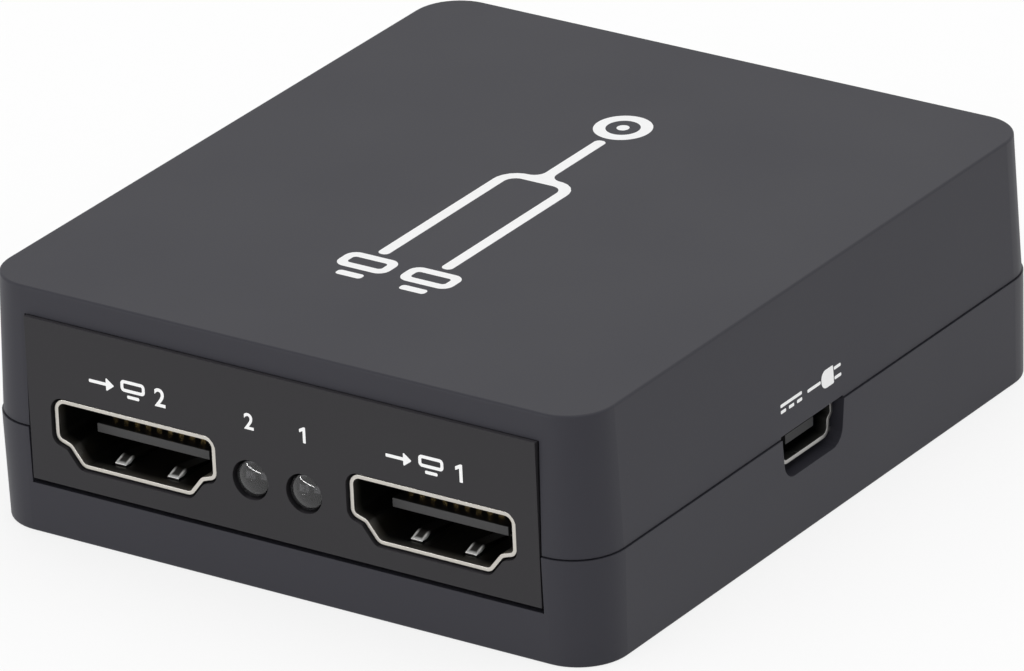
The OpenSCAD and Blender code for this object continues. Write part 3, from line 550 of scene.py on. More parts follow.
def solids(node):
    """Lowest and highest corner of each separate solid in a CAD node."""
    shape = bmesh.new()
    shape.from_mesh(NODES[node].data)
    bmesh.ops.remove_doubles(shape, verts=shape.verts, dist=SAME_POINT)
    shape.verts.ensure_lookup_table()
    seen = [False] * len(shape.verts)
    boxes = []
    for start in shape.verts:
        if seen[start.index]:
            continue
        seen[start.index] = True
        waiting, found = [start], []
        while waiting:
            vertex = waiting.pop()
            found.append(vertex.co.copy())
            for edge in vertex.link_edges:
                other = edge.other_vert(vertex)
                if not seen[other.index]:
                    seen[other.index] = True
                    waiting.append(other)
        boxes.append(extent(found))
    shape.free()
    return boxes


def pins(node, height):
    """Lowest and highest corner of each pin of a CAD node that passes below a height."""
    groups = []
    for point in [v.co.copy() for v in NODES[node].data.vertices if v.co.z < height]:
        near = [g for g in groups if any((point - p).xy.length < ONE_PIN for p in g)]
        merged = [p for g in near for p in g] + [point]
        groups = [g for g in groups if g not in near] + [merged]
    return [extent(group) for group in groups]


def flat_feet(node, surface):
    """Lowest and highest corner of the underside of each solid of a node that stands on the board."""
    low_points = [v.co for v in NODES[node].data.vertices if v.co.z < surface + FOOT_FLAT]
    return [extent([p for p in low_points if inside(p, *box)]) for box in solids(node)]


def inside(point, low, high):
    """Whether a point is in a box, with a little to spare."""
    spare = 2 * SAME_POINT
    return all(low[i] - spare <= point[i] <= high[i] + spare for i in range(3))


# Finishes


def moulded_plastic(name, base, roughness, gloss, grain, depth, edge, front=None, rubbed=None):
    """Moulding with a fine even grain, slow changes of tone and edges with a slight polish, whose colour is
    also lightened as a painted edge highlight.

    It is darker behind its front, as painted shade, and faces that look up are given another tone, as
    painted light."""
    cloud_size, shade_start, shade_reach = 14 * MM, 0.02 * MM, 0.2 * MM
    finish = Finish(name)
    fine = finish.noise(grain, detail=3)
    slow = finish.noise(cloud_size)
    round_normal = finish.softened(edge)
    polished = finish.edges(round_normal)
    tone = finish.blend(slow, scaled(base, 0.93), scaled(base, 1.07))
    # Painted edge highlight: sharp edges are painted lighter; their lower roughness is a real slight polish
    tone = finish.blend(polished * 0.6, tone, scaled(base, 1.9))
    # Painted shade: darker with depth behind the front face
    if front:
        behind = (front - abs(finish.axis(1)) - shade_start) / shade_reach
        tone = finish.blend(behind.held(), tone, scaled(base, 0.12))
    # Painted light: faces that look up get a lighter tone
    if rubbed:
        looks_up = finish.stops(finish.axis(2, finish.true_normal()), *SQUARELY)
        tone = finish.blend(looks_up, tone, scaled(base, rubbed))
    return finish.set(
        Base_Color=tone,
        Roughness=roughness - 0.08 + slow * 0.1 + fine * 0.06 - polished * 0.12,
        Specular_IOR_Level=gloss,
        Normal=finish.bump(fine, depth, strength=0.6, normal=round_normal),
    )


def spring_outline(finish, floor, rise, offset, width, places):
    """Mask of the leaf springs in the floors of receptacles at places along X, and of their sides."""
    across, height = finish.axis(0), finish.axis(2) - floor
    off = abs(across - places[0])
    for place in places[1:]:
        off = off.least(abs(across - place))
    aside = abs(off - offset) / (width / 2)
    spring = aside.below(1.05) * height.above(rise / 12) * height.below(rise)
    return spring, finish.stops(aside, (0.5, 0.0), (0.75, 1.0))


def plated_sheet(name, base, edge, axis, mouth, polished=None, **springs):
    """Stamped sheet with rolling marks and painted shade that darkens it inwards from the mouth and on the
    flat faces of its rim, apart from its floor springs, which carry a painted highlight.
    """
    marks_across, marks_along = 6 / MM, 0.3 / MM
    cloud_size, painted_shade_reach, mark_depth = 2.5 * MM, 2.5 * MM, 0.002 * MM
    finish = Finish(name)
    along = [marks_across] * 3
    along[axis] = marks_along
    rolling = finish.noise(1, detail=3, place=finish.stretched(*along))
    cloud = finish.noise(cloud_size, detail=3)
    # Painted shade: the sheet is darkened with depth inwards from the mouth
    depth = (mouth - abs(finish.axis(axis))) / painted_shade_reach
    painted_shade_inside = finish.stops(depth, (0.06, 0.0), (0.4, 1.0))
    round_normal = finish.softened(edge)
    # Painted shade: the flat faces of the rim are darkened, and their rounded edges keep the sheet's tone
    rim = finish.stops(abs(finish.axis(axis, finish.true_normal())), *SQUARELY)
    painted_rim_shade = rim * (1 - (finish.edges(round_normal) * 6).held())
    tone = finish.blend(cloud, scaled(base, 0.9), scaled(base, 1.08))
    tone = finish.blend(painted_shade_inside * 0.95, tone, scaled(base, 0.1))
    tone = finish.blend(painted_rim_shade * 0.35, tone, scaled(base, 0.3))
    metallic = 1.0
    if springs:
        # Painted highlight: the leaf springs' tips and sides take a pale colour and are made less metallic
        spring, sides = spring_outline(finish, **springs)
        tip = finish.stops(depth, (0.54, 1.0), (0.62, 0.0))
        fade = finish.stops(depth, (0.74, 1.0), (0.95, 0.0))
        painted_spring_highlight = spring * (0.12 + 0.88 * tip.most(sides)) * fade
        tone = finish.blend(painted_spring_highlight, tone, polished)
        metallic = 1 - painted_spring_highlight * 0.7
    return finish.set(
        Base_Color=tone,
        Metallic=metallic,
        Roughness=0.2 + rolling * 0.16 + cloud * 0.06,
        Normal=finish.bump(rolling, mark_depth, strength=0.5, normal=round_normal),
    )


def plated_metal(name, base, roughness, marks, edge):
    """Plated or drawn metal with fine handling marks."""
    mark_depth = 0.004 * MM
    finish = Finish(name)
    fine = finish.noise(marks, detail=4)
    slow = finish.noise(marks * 9)
    return finish.set(
        Base_Color=finish.blend(slow, scaled(base, 0.82), scaled(base, 1.1)),
        Metallic=1.0,
        Roughness=roughness - 0.05 + fine * 0.18,
        Normal=finish.bump(fine, mark_depth, strength=0.4, normal=finish.softened(edge)),
    )


def smoky_epoxy(name, base):
    """Cast lens with faint haze."""
    haze_size = 0.7 * MM
    finish = Finish(name)
    haze = finish.noise(haze_size, detail=3)
    return finish.set(
        Base_Color=finish.blend(haze, scaled(base, 0.9), base),
        Roughness=0.03 + haze * 0.04,
        IOR=1.52,
        Transmission_Weight=0.85,
    )


def solder_mask(name, base):
    """Lacquered board with copper tracks that show through in a paler tone."""
    weave_size, track_height = 0.5 * MM, 0.03 * MM
    finish = Finish(name)
    sockets = {"Vector": finish.stretched(1 / MM, 1 / MM, 0), "Scale": 0.55, "Mortar Size": 0.12}
    sockets.update({"Mortar Smooth": 0.1, "Brick Width": 1.6, "Row Height": 0.7})
    tracks = finish.node("ShaderNodeTexBrick", {"offset": 0.37, "squash": 1.4}, sockets, output="Fac")
    weave = finish.noise(weave_size)
    lacquer = finish.blend(weave, scaled(base, 0.85), base)
    return finish.set(
        Base_Color=finish.blend(tracks, lacquer, scaled(base, 1.8)),
        Roughness=0.26 + weave * 0.14,
        Normal=finish.bump(tracks + weave * 0.2, track_height, strength=0.6),
        Coat_Weight=0.25 + weave * 0.1,
    )


def fired_body(name, base, roughness, spots):
    """Moulded epoxy, ferrite or ceramic with a speckled surface."""
    pit_depth, edge = 0.01 * MM, 0.06 * MM
    finish = Finish(name)
    speckle = finish.noise(spots, detail=4)
    slow = finish.noise(spots * 12)
    return finish.set(
        Base_Color=finish.blend(speckle, scaled(base, 0.75), scaled(base, 1.3)),
        Roughness=roughness - 0.08 + speckle * 0.12 + slow * 0.06,
        Normal=finish.bump(speckle, pit_depth, strength=0.5, normal=finish.softened(edge)),
    )


def screen_ink(name, base):
    """Printed ink with the faint mesh of the screen."""
    mesh_size, thin_size, mesh_depth = 0.09 * MM, 1.2 * MM, 0.004 * MM
    finish = Finish(name)
    mesh = finish.noise(mesh_size)
    thin = finish.noise(thin_size)
    return finish.set(
        Base_Color=finish.blend(mesh * 0.5 + thin * 0.5, scaled(base, 0.9), base),
        Roughness=0.42 + mesh * 0.16,
        Specular_IOR_Level=0.3,
        Normal=finish.bump(mesh, mesh_depth, strength=0.3),
    )


class SPLITTER_OT_case(Operator):
    """Gives the covers and the socket panels their moulded finish"""

    bl_idname = "splitter.case"
    bl_label = "Finish Case"

    def execute(self, context):
        case = context.scene.splitter.case
        grain = (case.roughness, case.gloss, case.grain, case.grain_depth, case.edge)
        dress(moulded_plastic("case_plastic", case.cover, *grain), "top_cover", "bottom_cover")
        # The panels get painted light on their upward faces
        panel = moulded_plastic("panel_plastic", case.panel, *grain, rubbed=case.rubbed)
        dress(panel, "front_panel", "rear_panel")
        return {"FINISHED"}


class SPLITTER_OT_receptacles(Operator):
    """Gives the receptacles and the power socket their metal and plastic"""

    bl_idname = "splitter.receptacles"
    bl_label = "Finish Receptacles"

    def execute(self, context):
        case, metal = context.scene.splitter.case, context.scene.splitter.metal
        low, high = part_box("output_1_shell")
        # The video shells carry painted shade inside their mouths and a painted highlight on their leaf
        # springs
        video = plated_sheet(
            "video_nickel", metal.nickel, metal.edge, axis=1, mouth=-low.y, polished=metal.spring,
            floor=high.z - metal.mouth, rise=metal.spring_rise, offset=metal.spring_offset,
            width=metal.spring_width, places=[middle(shell).x for shell in SHELLS],
        )
        dress(video, *SHELLS)
        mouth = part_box("power_shell")[1].x
        power = plated_sheet("power_nickel", metal.dark_nickel, metal.edge, axis=0, mouth=mouth)
        dress(power, "power_shell")
        grain = (case.insert_roughness, case.gloss, case.insert_grain, case.grain_depth, case.edge)
        # The receptacles' mouldings carry painted shade behind their front face
        front = -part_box("output_1_insulator")[0].y
        tongue = moulded_plastic("tongue_plastic", case.tongue, *grain, front=front)
        dress(tongue, *(name + "_insulator" for name in RECEPTACLES))
        dress(moulded_plastic("insulator_plastic", case.insulator, *grain), "power_insulator")
        gold = plated_metal("contact_gold", metal.gold, roughness=0.22, marks=0.12 * MM, edge=0.03 * MM)
        dress(gold, *CONTACTS)
        return {"FINISHED"}


class SPLITTER_OT_electronics(Operator):
    """Gives the board and what it carries their finishes"""

    bl_idname = "splitter.electronics"
    bl_label = "Finish Electronics"

    def execute(self, context):
        board, metal = context.scene.splitter.board, context.scene.splitter.metal
        dress(solder_mask("solder_mask", board.mask), "main_board")
        epoxy = fired_body("chip_epoxy", board.epoxy, roughness=0.5, spots=0.08 * MM)
        dress(epoxy, "splitter_chip_body", "memory_chip_body", "regulator_body")
        dress(epoxy, "surge_arrays", "chip_resistors")
        ferrite = fired_body("ferrite", board.ferrite, roughness=0.6, spots=0.15 * MM)
        dress(ferrite, "power_inductor")
        ceramic = fired_body("capacitor_ceramic", board.ceramic, roughness=0.5, spots=0.12 * MM)
        dress(ceramic, "chip_capacitors")
        can = plated_metal("drawn_can", metal.aluminium, roughness=0.3, marks=0.2 * MM, edge=0.1 * MM)
        dress(can, "crystal", "filter_capacitors")
        tin = plated_metal("tinned_lead", metal.tin, roughness=0.3, marks=0.12 * MM, edge=0.04 * MM)
        dress(tin, *CHIP_LEADS, *LAMP_LEADS)
        dress(smoky_epoxy("lens_epoxy", board.lens), *(name + "_lens" for name in INDICATORS))
        return {"FINISHED"}


# Screws, solder and dies


class SPLITTER_OT_screws(Operator):
    """Makes the case screws with their thread and driver cross"""

    bl_idname = "splitter.screws"
    bl_label = "Make Case Screws"

    def execute(self, context):
        settings = context.scene.splitter
        sizes = {name: getattr(settings.screws, name) for name in ScrewSizes.__annotations__}
        low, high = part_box("case_screws")
        inset = settings.screws.head / 2
        rows = (low.y + inset, high.y - inset)
        places = [(x, y, low.z) for x in (low.x + inset, high.x - inset) for y in rows]
        zinc = plated_metal(
            "screw_zinc", settings.metal.zinc, roughness=0.32, marks=0.15 * MM, edge=0.06 * MM
        )
        screws = screw_recipe().piece("threaded_screws", places, zinc, length=high.z - low.z, **sizes)
        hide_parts("case_screws")
        return {"FINISHED"}


def screw_recipe():
    """Pan-headed screw that stands on its head, with a pointed and threaded shank."""
    flat_radius, tip_radius, tip_part, sunk_part = 0.82, 0.24, 0.12, 0.9
    plain_turns, run_out = 0.5, 2.5
    head_points, shank_points, turn_points, ridge_sides = 12, 40, 24, 4
    sizes = ("Head", "Head height", "Length", "Thread", "Thread depth", "Pitch")
    recipe = Recipe("case_screw", *sizes, "Cross length", "Cross width", "Cross depth")
    size = recipe.inputs
    height, pitch, ridge_height = size["Head height"], size["Pitch"], size["Thread depth"]
    core = size["Thread"] / 2 - ridge_height

    def pan(way):
        dome = 1 - (1 - (way * 2).least(1)) ** 2
        return size["Head"] / 2 * (flat_radius + (1 - flat_radius) * dome ** 0.5)

    def pointed(way):
        return core * (tip_radius + (1 - tip_radius) * ((1 - way) / tip_part).least(1))

    head = recipe.turned(0.0, height, head_points, pan)
    shank = recipe.turned(height * sunk_part, size["Length"], shank_points, pointed)
    arm = recipe.vector(size["Cross length"], size["Cross width"], size["Cross depth"] * 2)
    bar = recipe.node("GeometryNodeMeshCube", None, {"Size": arm})
    across = recipe.node("GeometryNodeTransform", None, {0: bar, "Rotation": (0, 0, math.pi / 2)})
    cross = recipe.boolean("UNION", {1: [bar, across]})
    head = recipe.boolean("DIFFERENCE", {0: head, 1: cross})
    rise = size["Length"] - height - pitch * run_out
    sockets = {"Resolution": turn_points, "Rotations": rise / pitch, "Height": rise}
    sockets.update({"Start Radius": core, "End Radius": core})
    helix = recipe.node("GeometryNodeCurveSpiral", None, sockets)
    helix = recipe.node("GeometryNodeSetCurveNormal", {"mode": "Z_UP"}, {0: helix})
    ridge = recipe.swept(helix, recipe.circle(ridge_sides), ridge_height)
    lift = recipe.vector(z=height + pitch * plain_turns)
    ridge = recipe.node("GeometryNodeTransform", None, {0: ridge, "Translation": lift})
    return recipe.finish(recipe.node("GeometryNodeJoinGeometry", None, {0: [head, shank, ridge]}))


class SPLITTER_OT_solder(Operator):
    """Makes the solder round the pins, under the flat feet and on the ends of the chip parts"""

    bl_idname = "splitter.solder"
    bl_label = "Make Solder"

    def execute(self, context):
        sizes, metal = context.scene.splitter.solder, context.scene.splitter.metal
        tin = plated_metal("solder_tin", metal.tin, roughness=0.24, marks=0.3 * MM, edge=0.05 * MM)
        underside, surface = (corner.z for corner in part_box("main_board"))
        held = [box for node in (*SHELLS, *LAMP_LEADS) for box in pins(node, underside)]
        places, scales = self.joints(held, underside, sizes.pad, sizes.cone)
        cones = cone_recipe().piece("pin_solder", places, tin, scales)
        feet = [box for node in (*CONTACTS, *CHIP_LEADS) for box in flat_feet(node, surface)]
        places, scales = self.joints(feet, surface, sizes.spread, sizes.swell)
        pillows = pillow_recipe().piece("foot_solder", places, tin, scales)
        for piece in (cones, pillows, self.end_caps(sizes, tin)):
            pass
        return {"FINISHED"}

    @staticmethod
    def joints(boxes, level, margin, height):
        """Places and sizes of the solder round pins or feet, at a level of the board."""
        places, scales = [], []
        for low, high in boxes:
            centre, half = (low + high) / 2, (high - low) / 2
            places.append((centre.x, centre.y, level))
            scales.append((half.x + margin, half.y + margin, height))
        return places, scales

    @staticmethod
    def end_caps(sizes, tin):
        """Tinned ends of the chip capacitors and resistors."""
        places, scales = [], []
        for low, high in solids("chip_capacitors") + solids("chip_resistors"):
            size = high - low
            axis = 0 if size.x > size.y else 1
            cap = size + Vector((2, 2, 1)) * sizes.cap_skin
            reach = (size[axis] - sizes.cap) / 2 + sizes.cap_skin / 2
            cap[axis] = sizes.cap + sizes.cap_skin
            for side in (-1, 1):
                place = (low + high) / 2
                place[axis] += side * reach
                place.z += sizes.cap_skin / 2
                places.append(tuple(place))
                scales.append(tuple(cap))
        return cap_recipe().piece("tinned_ends", places, tin, scales)


def cone_recipe():
    """Hollow-sided cone of solder that hangs below the board, sized at each place."""
    tip_radius, hollow, points = 0.35, 2.2, 8
    recipe = Recipe("solder_cone")

    def side(way):
        return tip_radius + (1 - tip_radius) * (1 - way) ** hollow

    return recipe.finish(recipe.turned(0.0, -1.0, points, side), recipe.own_size())


def pillow_recipe():
    """Low pillow of solder, sized at each place."""
    recipe = Recipe("solder_pillow")
    ball = recipe.node("GeometryNodeMeshUVSphere", None, {"Segments": 12, "Rings": 6, "Radius": 1.0})
    return recipe.finish(ball, recipe.own_size())


def cap_recipe():
    """Block with rounded edges, sized at each place."""
    recipe = Recipe("tinned_end")
    cap = recipe.node("GeometryNodeMeshCube", None, {"Size": (1, 1, 1)})
    cap = recipe.node("GeometryNodeSubdivisionSurface", None, {0: cap, "Level": 2, "Edge Crease": 0.8})
    return recipe.finish(cap, recipe.own_size())


class SPLITTER_OT_dies(Operator):
    """Makes what is cast into the indicator lenses"""

    bl_idname = "splitter.dies"
    bl_label = "Make Indicator Dies"

    def execute(self, context):
        tin = context.scene.splitter.metal.tin
        silver = plated_metal("die_silver", tin, roughness=0.2, marks=0.1 * MM, edge=0.02 * MM)
        for name in INDICATORS:
            piece = added(name + "_die", die_mesh(name + "_lens", name + "_leads"), silver)
        return {"FINISHED"}


def die_mesh(lens, leads):
    """Two posts that carry on from the leads, one with a cup and a die, joined by a wire."""
    low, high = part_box(lens)
    lead_low, lead_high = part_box(leads)
    centre = (low + high) / 2
    half, spread, lead_in, edge = 0.25 * MM, 0.42 * MM, 0.9 * MM, 0.04 * MM
    cup_half, post_half = 0.36 * MM, 0.26 * MM
    die_half, die_thickness, die_edge = 0.14 * MM, 0.18 * MM, 0.02 * MM
    wire_rise, wire_radius = 0.35 * MM, 0.025 * MM
    bend, cup_tip, post_tip = high.y - 1.0 * MM, low.y + 1.15 * MM, low.y + 1.35 * MM
    die_top = cup_tip - 0.17 * MM
    cup_x, post_x = centre.x - spread, centre.x + spread
    posts = (
        (lead_low.x + half, cup_x, cup_half, cup_tip),
        (lead_high.x - half, post_x, post_half, post_tip),
    )
    shape = bmesh.new()
    for outer, inner, wide, tip in posts:
        block(shape, (outer, high.y - lead_in / 2, centre.z), (half, lead_in / 2, half), edge)
        arm_half = abs(outer - inner) / 2 + wide
        block(shape, ((outer + inner) / 2, bend, centre.z), (arm_half, half, half), edge)
        block(shape, (inner, (bend + tip) / 2, centre.z), (wide, (bend - tip) / 2, half), edge)
    die = (die_half, die_thickness / 2, die_half)
    block(shape, (cup_x, die_top + die_thickness / 2, centre.z), die, die_edge)
    start, end = Vector((cup_x, die_top, centre.z)), Vector((post_x, post_tip, centre.z))
    wire(shape, start, end, wire_rise, wire_radius)
    return drawn(shape, bpy.data.meshes.new("die"))


def block(shape, centre, half, edge):
    """Adds a block with bevelled edges."""
    place = Matrix.Translation(centre) @ Matrix.Diagonal((*(2 * h for h in half), 1))
    verts = bmesh.ops.create_cube(shape, size=1, matrix=place)["verts"]
    edges = list({e for v in verts for e in v.link_edges})
    bmesh.ops.bevel(shape, geom=edges, offset=edge, segments=2, profile=0.5, affect="EDGES")


def wire(shape, start, end, rise, radius):
    """Adds a thin wire that arches towards the dome."""
    steps, sides = 12, 6
    turns = [2 * math.pi * k / sides for k in range(sides)]
    rings = []
    for i in range(steps + 1):
        way = i / steps
        bow = start.lerp(end, way) + Vector((0, -rise * math.sin(math.pi * way), 0))
        around = [bow + radius * Vector((math.cos(turn), 0, math.sin(turn))) for turn in turns]
        rings.append([shape.verts.new(point) for point in around])
    for ring, after in zip(rings, rings[1:]):
        for k in range(sides):
            shape.faces.new((ring[k], after[k], after[(k + 1) % sides], ring[(k + 1) % sides]))
    shape.faces.new(rings[0])
    shape.faces.new(reversed(rings[-1]))


# Prints


def rounded(corners, radius, steps=6):
    """Closed outline with its corners rounded, or rounded each by its own radius."""
    radii = radius if isinstance(radius, list) else [radius] * len(corners)
    points = []
    for i, corner in enumerate(corners):
        here = Vector(corner)
        before = (Vector(corners[i - 1]) - here).normalized()
        after = (Vector(corners[(i + 1) % len(corners)]) - here).normalized()
        half = before.angle(after) / 2
        centre = here + (before + after).normalized() * radii[i] / math.sin(half)
        first = here + before * radii[i] / math.tan(half) - centre
        last = here + after * radii[i] / math.tan(half) - centre
        for k in range(steps + 1):
            points.append(centre + first.lerp(last, k / steps).normalized() * radii[i])
    return points


def box_outline(x, y, width, height, radius):
    """Rounded rectangle about a centre."""
    w, h = width / 2, height / 2
    return rounded([(x - w, y - h), (x + w, y - h), (x + w, y + h), (x - w, y + h)], radius)


def circle_outline(x, y, radius, steps=48):
    """Circle about a centre."""
    turns = [2 * math.pi * i / steps for i in range(steps)]
    return [Vector((x + radius * math.cos(t), y + radius * math.sin(t))) for t in turns]


def screen_sign(x, y, width, height, stroke):
    """Screen on its stand, as an outline."""
    gap, stand, outer, inner = height * 0.16, width * 0.5, stroke * 1.2, stroke * 0.4
    body = height - gap - stroke
    top = y + height / 2 - body / 2
    return [
        box_outline(x, top, width, body, outer),
        box_outline(x, top, width - 2 * stroke, body - 2 * stroke, inner),
        box_outline(x, y - height / 2 + stroke / 2, stand, stroke, inner),
    ]


def arrow_sign(x, y, reach, head, stroke):
    """Arrow to the right about a centre."""
    tip, tail, barb, s = x + reach / 2, x - reach / 2, head * 0.75, stroke / 2
    end, notch, point = s * 0.6, s * 0.2, s * 0.5
    neck = tip - head
    corners = [(tail, y - s), (neck, y - s), (neck, y - barb), (tip, y)]
    corners += [(neck, y + barb), (neck, y + s), (tail, y + s)]
    return [rounded(corners, [end, notch, point, point, point, notch, end])]


def plug_sign(x, y, reach, height, stroke):
    """Plug with two prongs and its cord, about a centre."""
    body, prong, gap, apart = reach * 0.36, reach * 0.2, stroke * 0.4, height * 0.27
    end, back, front = stroke * 0.4, height * 0.45, stroke * 0.5
    cord = reach - body - prong - 2 * gap
    left = x - reach / 2
    start = left + cord + gap
    lines = [box_outline(left + cord / 2, y, cord, stroke, end)]
    lines.append(box_outline(start + body / 2, y, body, height, [back, front, front, back]))
    for across in (y - apart, y + apart):
        lines.append(box_outline(start + body + gap + prong / 2, across, prong, stroke, end))
    return lines


def supply_sign(x, y, reach, height, stroke):
    """Sign for direct current: a line over three dashes."""
    dash, end = reach * 0.24, stroke * 0.3
    lines = [box_outline(x, y + height / 2 - stroke / 2, reach, stroke, end)]
    for place in (-1, 0, 1):
        across = x + place * (reach - dash) / 2
        lines.append(box_outline(across, y - height / 2 + stroke / 2, dash, stroke, end))
    return lines


def splitting_sign(reach, stroke):
    """One source that forks to two screens, along Y about the origin."""
    ring, spread, width, height = 2.3 * MM, 2.85 * MM, 4.6 * MM, 4.0 * MM
    dot, stem, gap, thin = ring - stroke * 1.9, reach * 0.24, stroke * 0.55, stroke * 0.8
    top, bottom, s = reach / 2, -reach / 2, stroke / 2
    start = top - 2 * ring - gap
    fork = start - stem
    end = bottom + height + gap
    half = [(s, start), (s, fork + s), (spread + s, fork + s), (spread + s, end)]
    half += [(spread - s, end), (spread - s, fork - s)]
    corners = [(-x, y) for x, y in half] + [(x, y) for x, y in reversed(half)]
    blunt, inner, outer = s * 0.9, s * 2, s * 4
    radii = [blunt, inner, outer, blunt, blunt, inner]
    lines = [circle_outline(0, top - ring, radius) for radius in (ring, ring - stroke, dot)]
    lines.append(rounded(corners, radii + radii[::-1]))
    for x in (-spread, spread):
        lines += screen_sign(x, bottom + height / 2, width, height, thin)
    return lines


def sign_mesh(outlines, thickness):
    """Flat outlines, filled and given a thickness."""
    curve = bpy.data.curves.new("sign", "CURVE")
    curve.dimensions = "2D"
    curve.fill_mode = "BOTH"
    curve.extrude = thickness
    for outline in outlines:
        spline = curve.splines.new("POLY")
        spline.points.add(len(outline) - 1)
        for point, place in zip(spline.points, outline):
            point.co = (place.x, place.y, 0, 1)
        spline.use_cyclic_u = True
    return plain_mesh(curve)


def one_outline(height):
    """Numeral one with its flag, about the origin."""
    stroke, flag = height * 0.19, height * 0.24
    half, side, fall, corner = height / 2, stroke / 2, flag * 0.7, stroke * 0.12
    low = half - fall - stroke * 1.1
    corners = [(-side, -half), (side, -half), (side, half), (-side * 0.3, half)]
    corners += [(-side - flag, half - fall), (-side - flag, low), (-side, low + fall * 0.8)]
    return rounded([(x + flag / 2, y) for x, y in corners], corner)


def numeral_mesh(text, height, thickness):
    """Numeral about the origin, a little heavier than the font, or a one with a flag."""
    if text == "1":
        return sign_mesh([one_outline(height)], thickness)
    numeral_part, added_weight = 0.7, 0.025
    curve = bpy.data.curves.new("numeral", "FONT")
    curve.body = text
    curve.size = height / numeral_part
    curve.offset = height * added_weight
    curve.extrude = thickness
    curve.resolution_u = 6
    mesh = plain_mesh(curve)
    low, high = extent([v.co for v in mesh.vertices])
    mesh.transform(Matrix.Translation(-(low + high) / 2))
    return mesh


def plain_mesh(curve):
    """Mesh of a curve or text, with its doubles merged."""
    mesh = evaluated(placed("outline", curve))
    shape = bmesh.new()
    shape.from_mesh(mesh)
    bmesh.ops.remove_doubles(shape, verts=shape.verts, dist=SAME_POINT)
    bmesh.ops.recalc_face_normals(shape, faces=shape.faces)
    return drawn(shape, mesh)


def printed(name, mesh, node, centre, right, up, ink):
    """Lays a flat sign on a face of a CAD node.

    Its upper side stands out by the thickness of the ink, and its lower side sinks in."""
    out = right.cross(up)
    graph = bpy.context.evaluated_depsgraph_get()
    face = BVHTree.FromObject(NODES[node], graph)
    for vertex in mesh.vertices:
        start = centre + right * vertex.co.x + up * vertex.co.y + out * LAY_FROM
        hit = face.ray_cast(start, -out)[0]
        if hit is None:
            raise RuntimeError(f"{name} reaches past the face of {node}")
        vertex.co = hit + out * vertex.co.z
    mesh.update()
    return added(name, mesh, ink)


# Right and up on each printed face
FRONT = (Vector((1, 0, 0)), Vector((0, 0, 1)))
SIDE = (Vector((0, 1, 0)), Vector((0, 0, 1)))
ROOF = (Vector((1, 0, 0)), Vector((0, 1, 0)))


class SPLITTER_OT_panel_prints(Operator):
    """Prints the signs over the outputs and the numerals over the indicators"""

    bl_idname = "splitter.panel_prints"
    bl_label = "Print Panel"

    def execute(self, context):
        sizes = context.scene.splitter.prints
        ink = screen_ink("panel_ink", sizes.ink)
        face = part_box("front_panel")[0].y
        for name, text in OUTPUTS.items():
            low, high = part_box(name + "_shell")
            centre = Vector(((low.x + high.x) / 2, face, high.z + sizes.label_rise))
            lines = arrow_sign(sizes.arrow_shift, 0, sizes.arrow, sizes.arrow_head, sizes.stroke)
            lines += screen_sign(sizes.screen_shift, 0, sizes.screen, sizes.numeral, sizes.stroke)
            printed(name + "_sign", sign_mesh(lines, sizes.thickness), "front_panel", centre, *FRONT, ink)
            numeral = numeral_mesh(text, sizes.numeral, sizes.thickness)
            place = centre + Vector((sizes.output_shift, 0, 0))
            printed(name + "_numeral", numeral, "front_panel", place, *FRONT, ink)
        for name, text in INDICATORS.items():
            lens = middle(name + "_lens")
            place = Vector((lens.x + sizes.numeral_shift, face, lens.z + sizes.numeral_rise))
            numeral = numeral_mesh(text, sizes.numeral * sizes.lamp_numeral, sizes.thickness)
            printed(name + "_numeral", numeral, "front_panel", place, *FRONT, ink)
        return {"FINISHED"}


class SPLITTER_OT_side_print(Operator):
    """Prints the power sign over the power socket"""

    bl_idname = "splitter.side_print"
    bl_label = "Print Side"

    def execute(self, context):
        sizes = context.scene.splitter.prints
        ink = screen_ink("side_ink", sizes.ink)
        socket = middle("power_shell")
        place = Vector((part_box("top_cover")[1].x, socket.y, socket.z + sizes.side_rise))
        lines = supply_sign(sizes.supply_shift, 0, sizes.supply, sizes.supply_height, sizes.stroke)
        lines += plug_sign(sizes.plug_shift, 0, sizes.plug, sizes.numeral, sizes.stroke)
        printed("power_sign", sign_mesh(lines, sizes.thickness), "top_cover", place, *SIDE, ink)
        return {"FINISHED"}


class SPLITTER_OT_roof_print(Operator):
    """Prints the sign on the roof: one source that forks to two screens"""

    bl_idname = "splitter.roof_print"
    bl_label = "Print Roof"

    def execute(self, context):
        sizes = context.scene.splitter.prints
        ink = screen_ink("roof_ink", sizes.ink)
        place = Vector((0, 0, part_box("top_cover")[1].z))
        mesh = sign_mesh(splitting_sign(sizes.top_length, sizes.top_stroke), sizes.thickness)
        printed("splitting_sign", mesh, "top_cover", place, *ROOF, ink)
        return {"FINISHED"}


# Stage


def white_for_looks(tree):
    """1 for rays from the camera and for reflected or refracted ones, and 0 for light on the object."""
    kinds = ("Camera", "Glossy", "Transmission")
    camera, glossy, bent = (tree.node("ShaderNodeLightPath", output=f"Is {kind} Ray") for kind in kinds)
    return (camera + glossy + bent).least(1)


def paper_floor(stage):
    """Pale paper that looks white and keeps the object's shadow."""
    fibre_size = 3 * MM
    finish = Finish("paper")
    fibre = finish.noise(fibre_size, detail=3)
    finish.set(Base_Color=finish.blend(fibre, scaled(stage.paper, 0.98), stage.paper), Roughness=0.9)
    glow = finish.node("ShaderNodeEmission", None, {"Color": (1, 1, 1, 1), "Strength": 1.0})
    factor = white_for_looks(finish) * (1 - stage.shadow)
    shader = Signal(finish, finish.shader.outputs[0])
    mixed = finish.node("ShaderNodeMixShader", None, {0: factor, 1: shader, 2: glow})
    finish.feed(finish.tree.nodes["Material Output"].inputs["Surface"], mixed)
    return finish.material


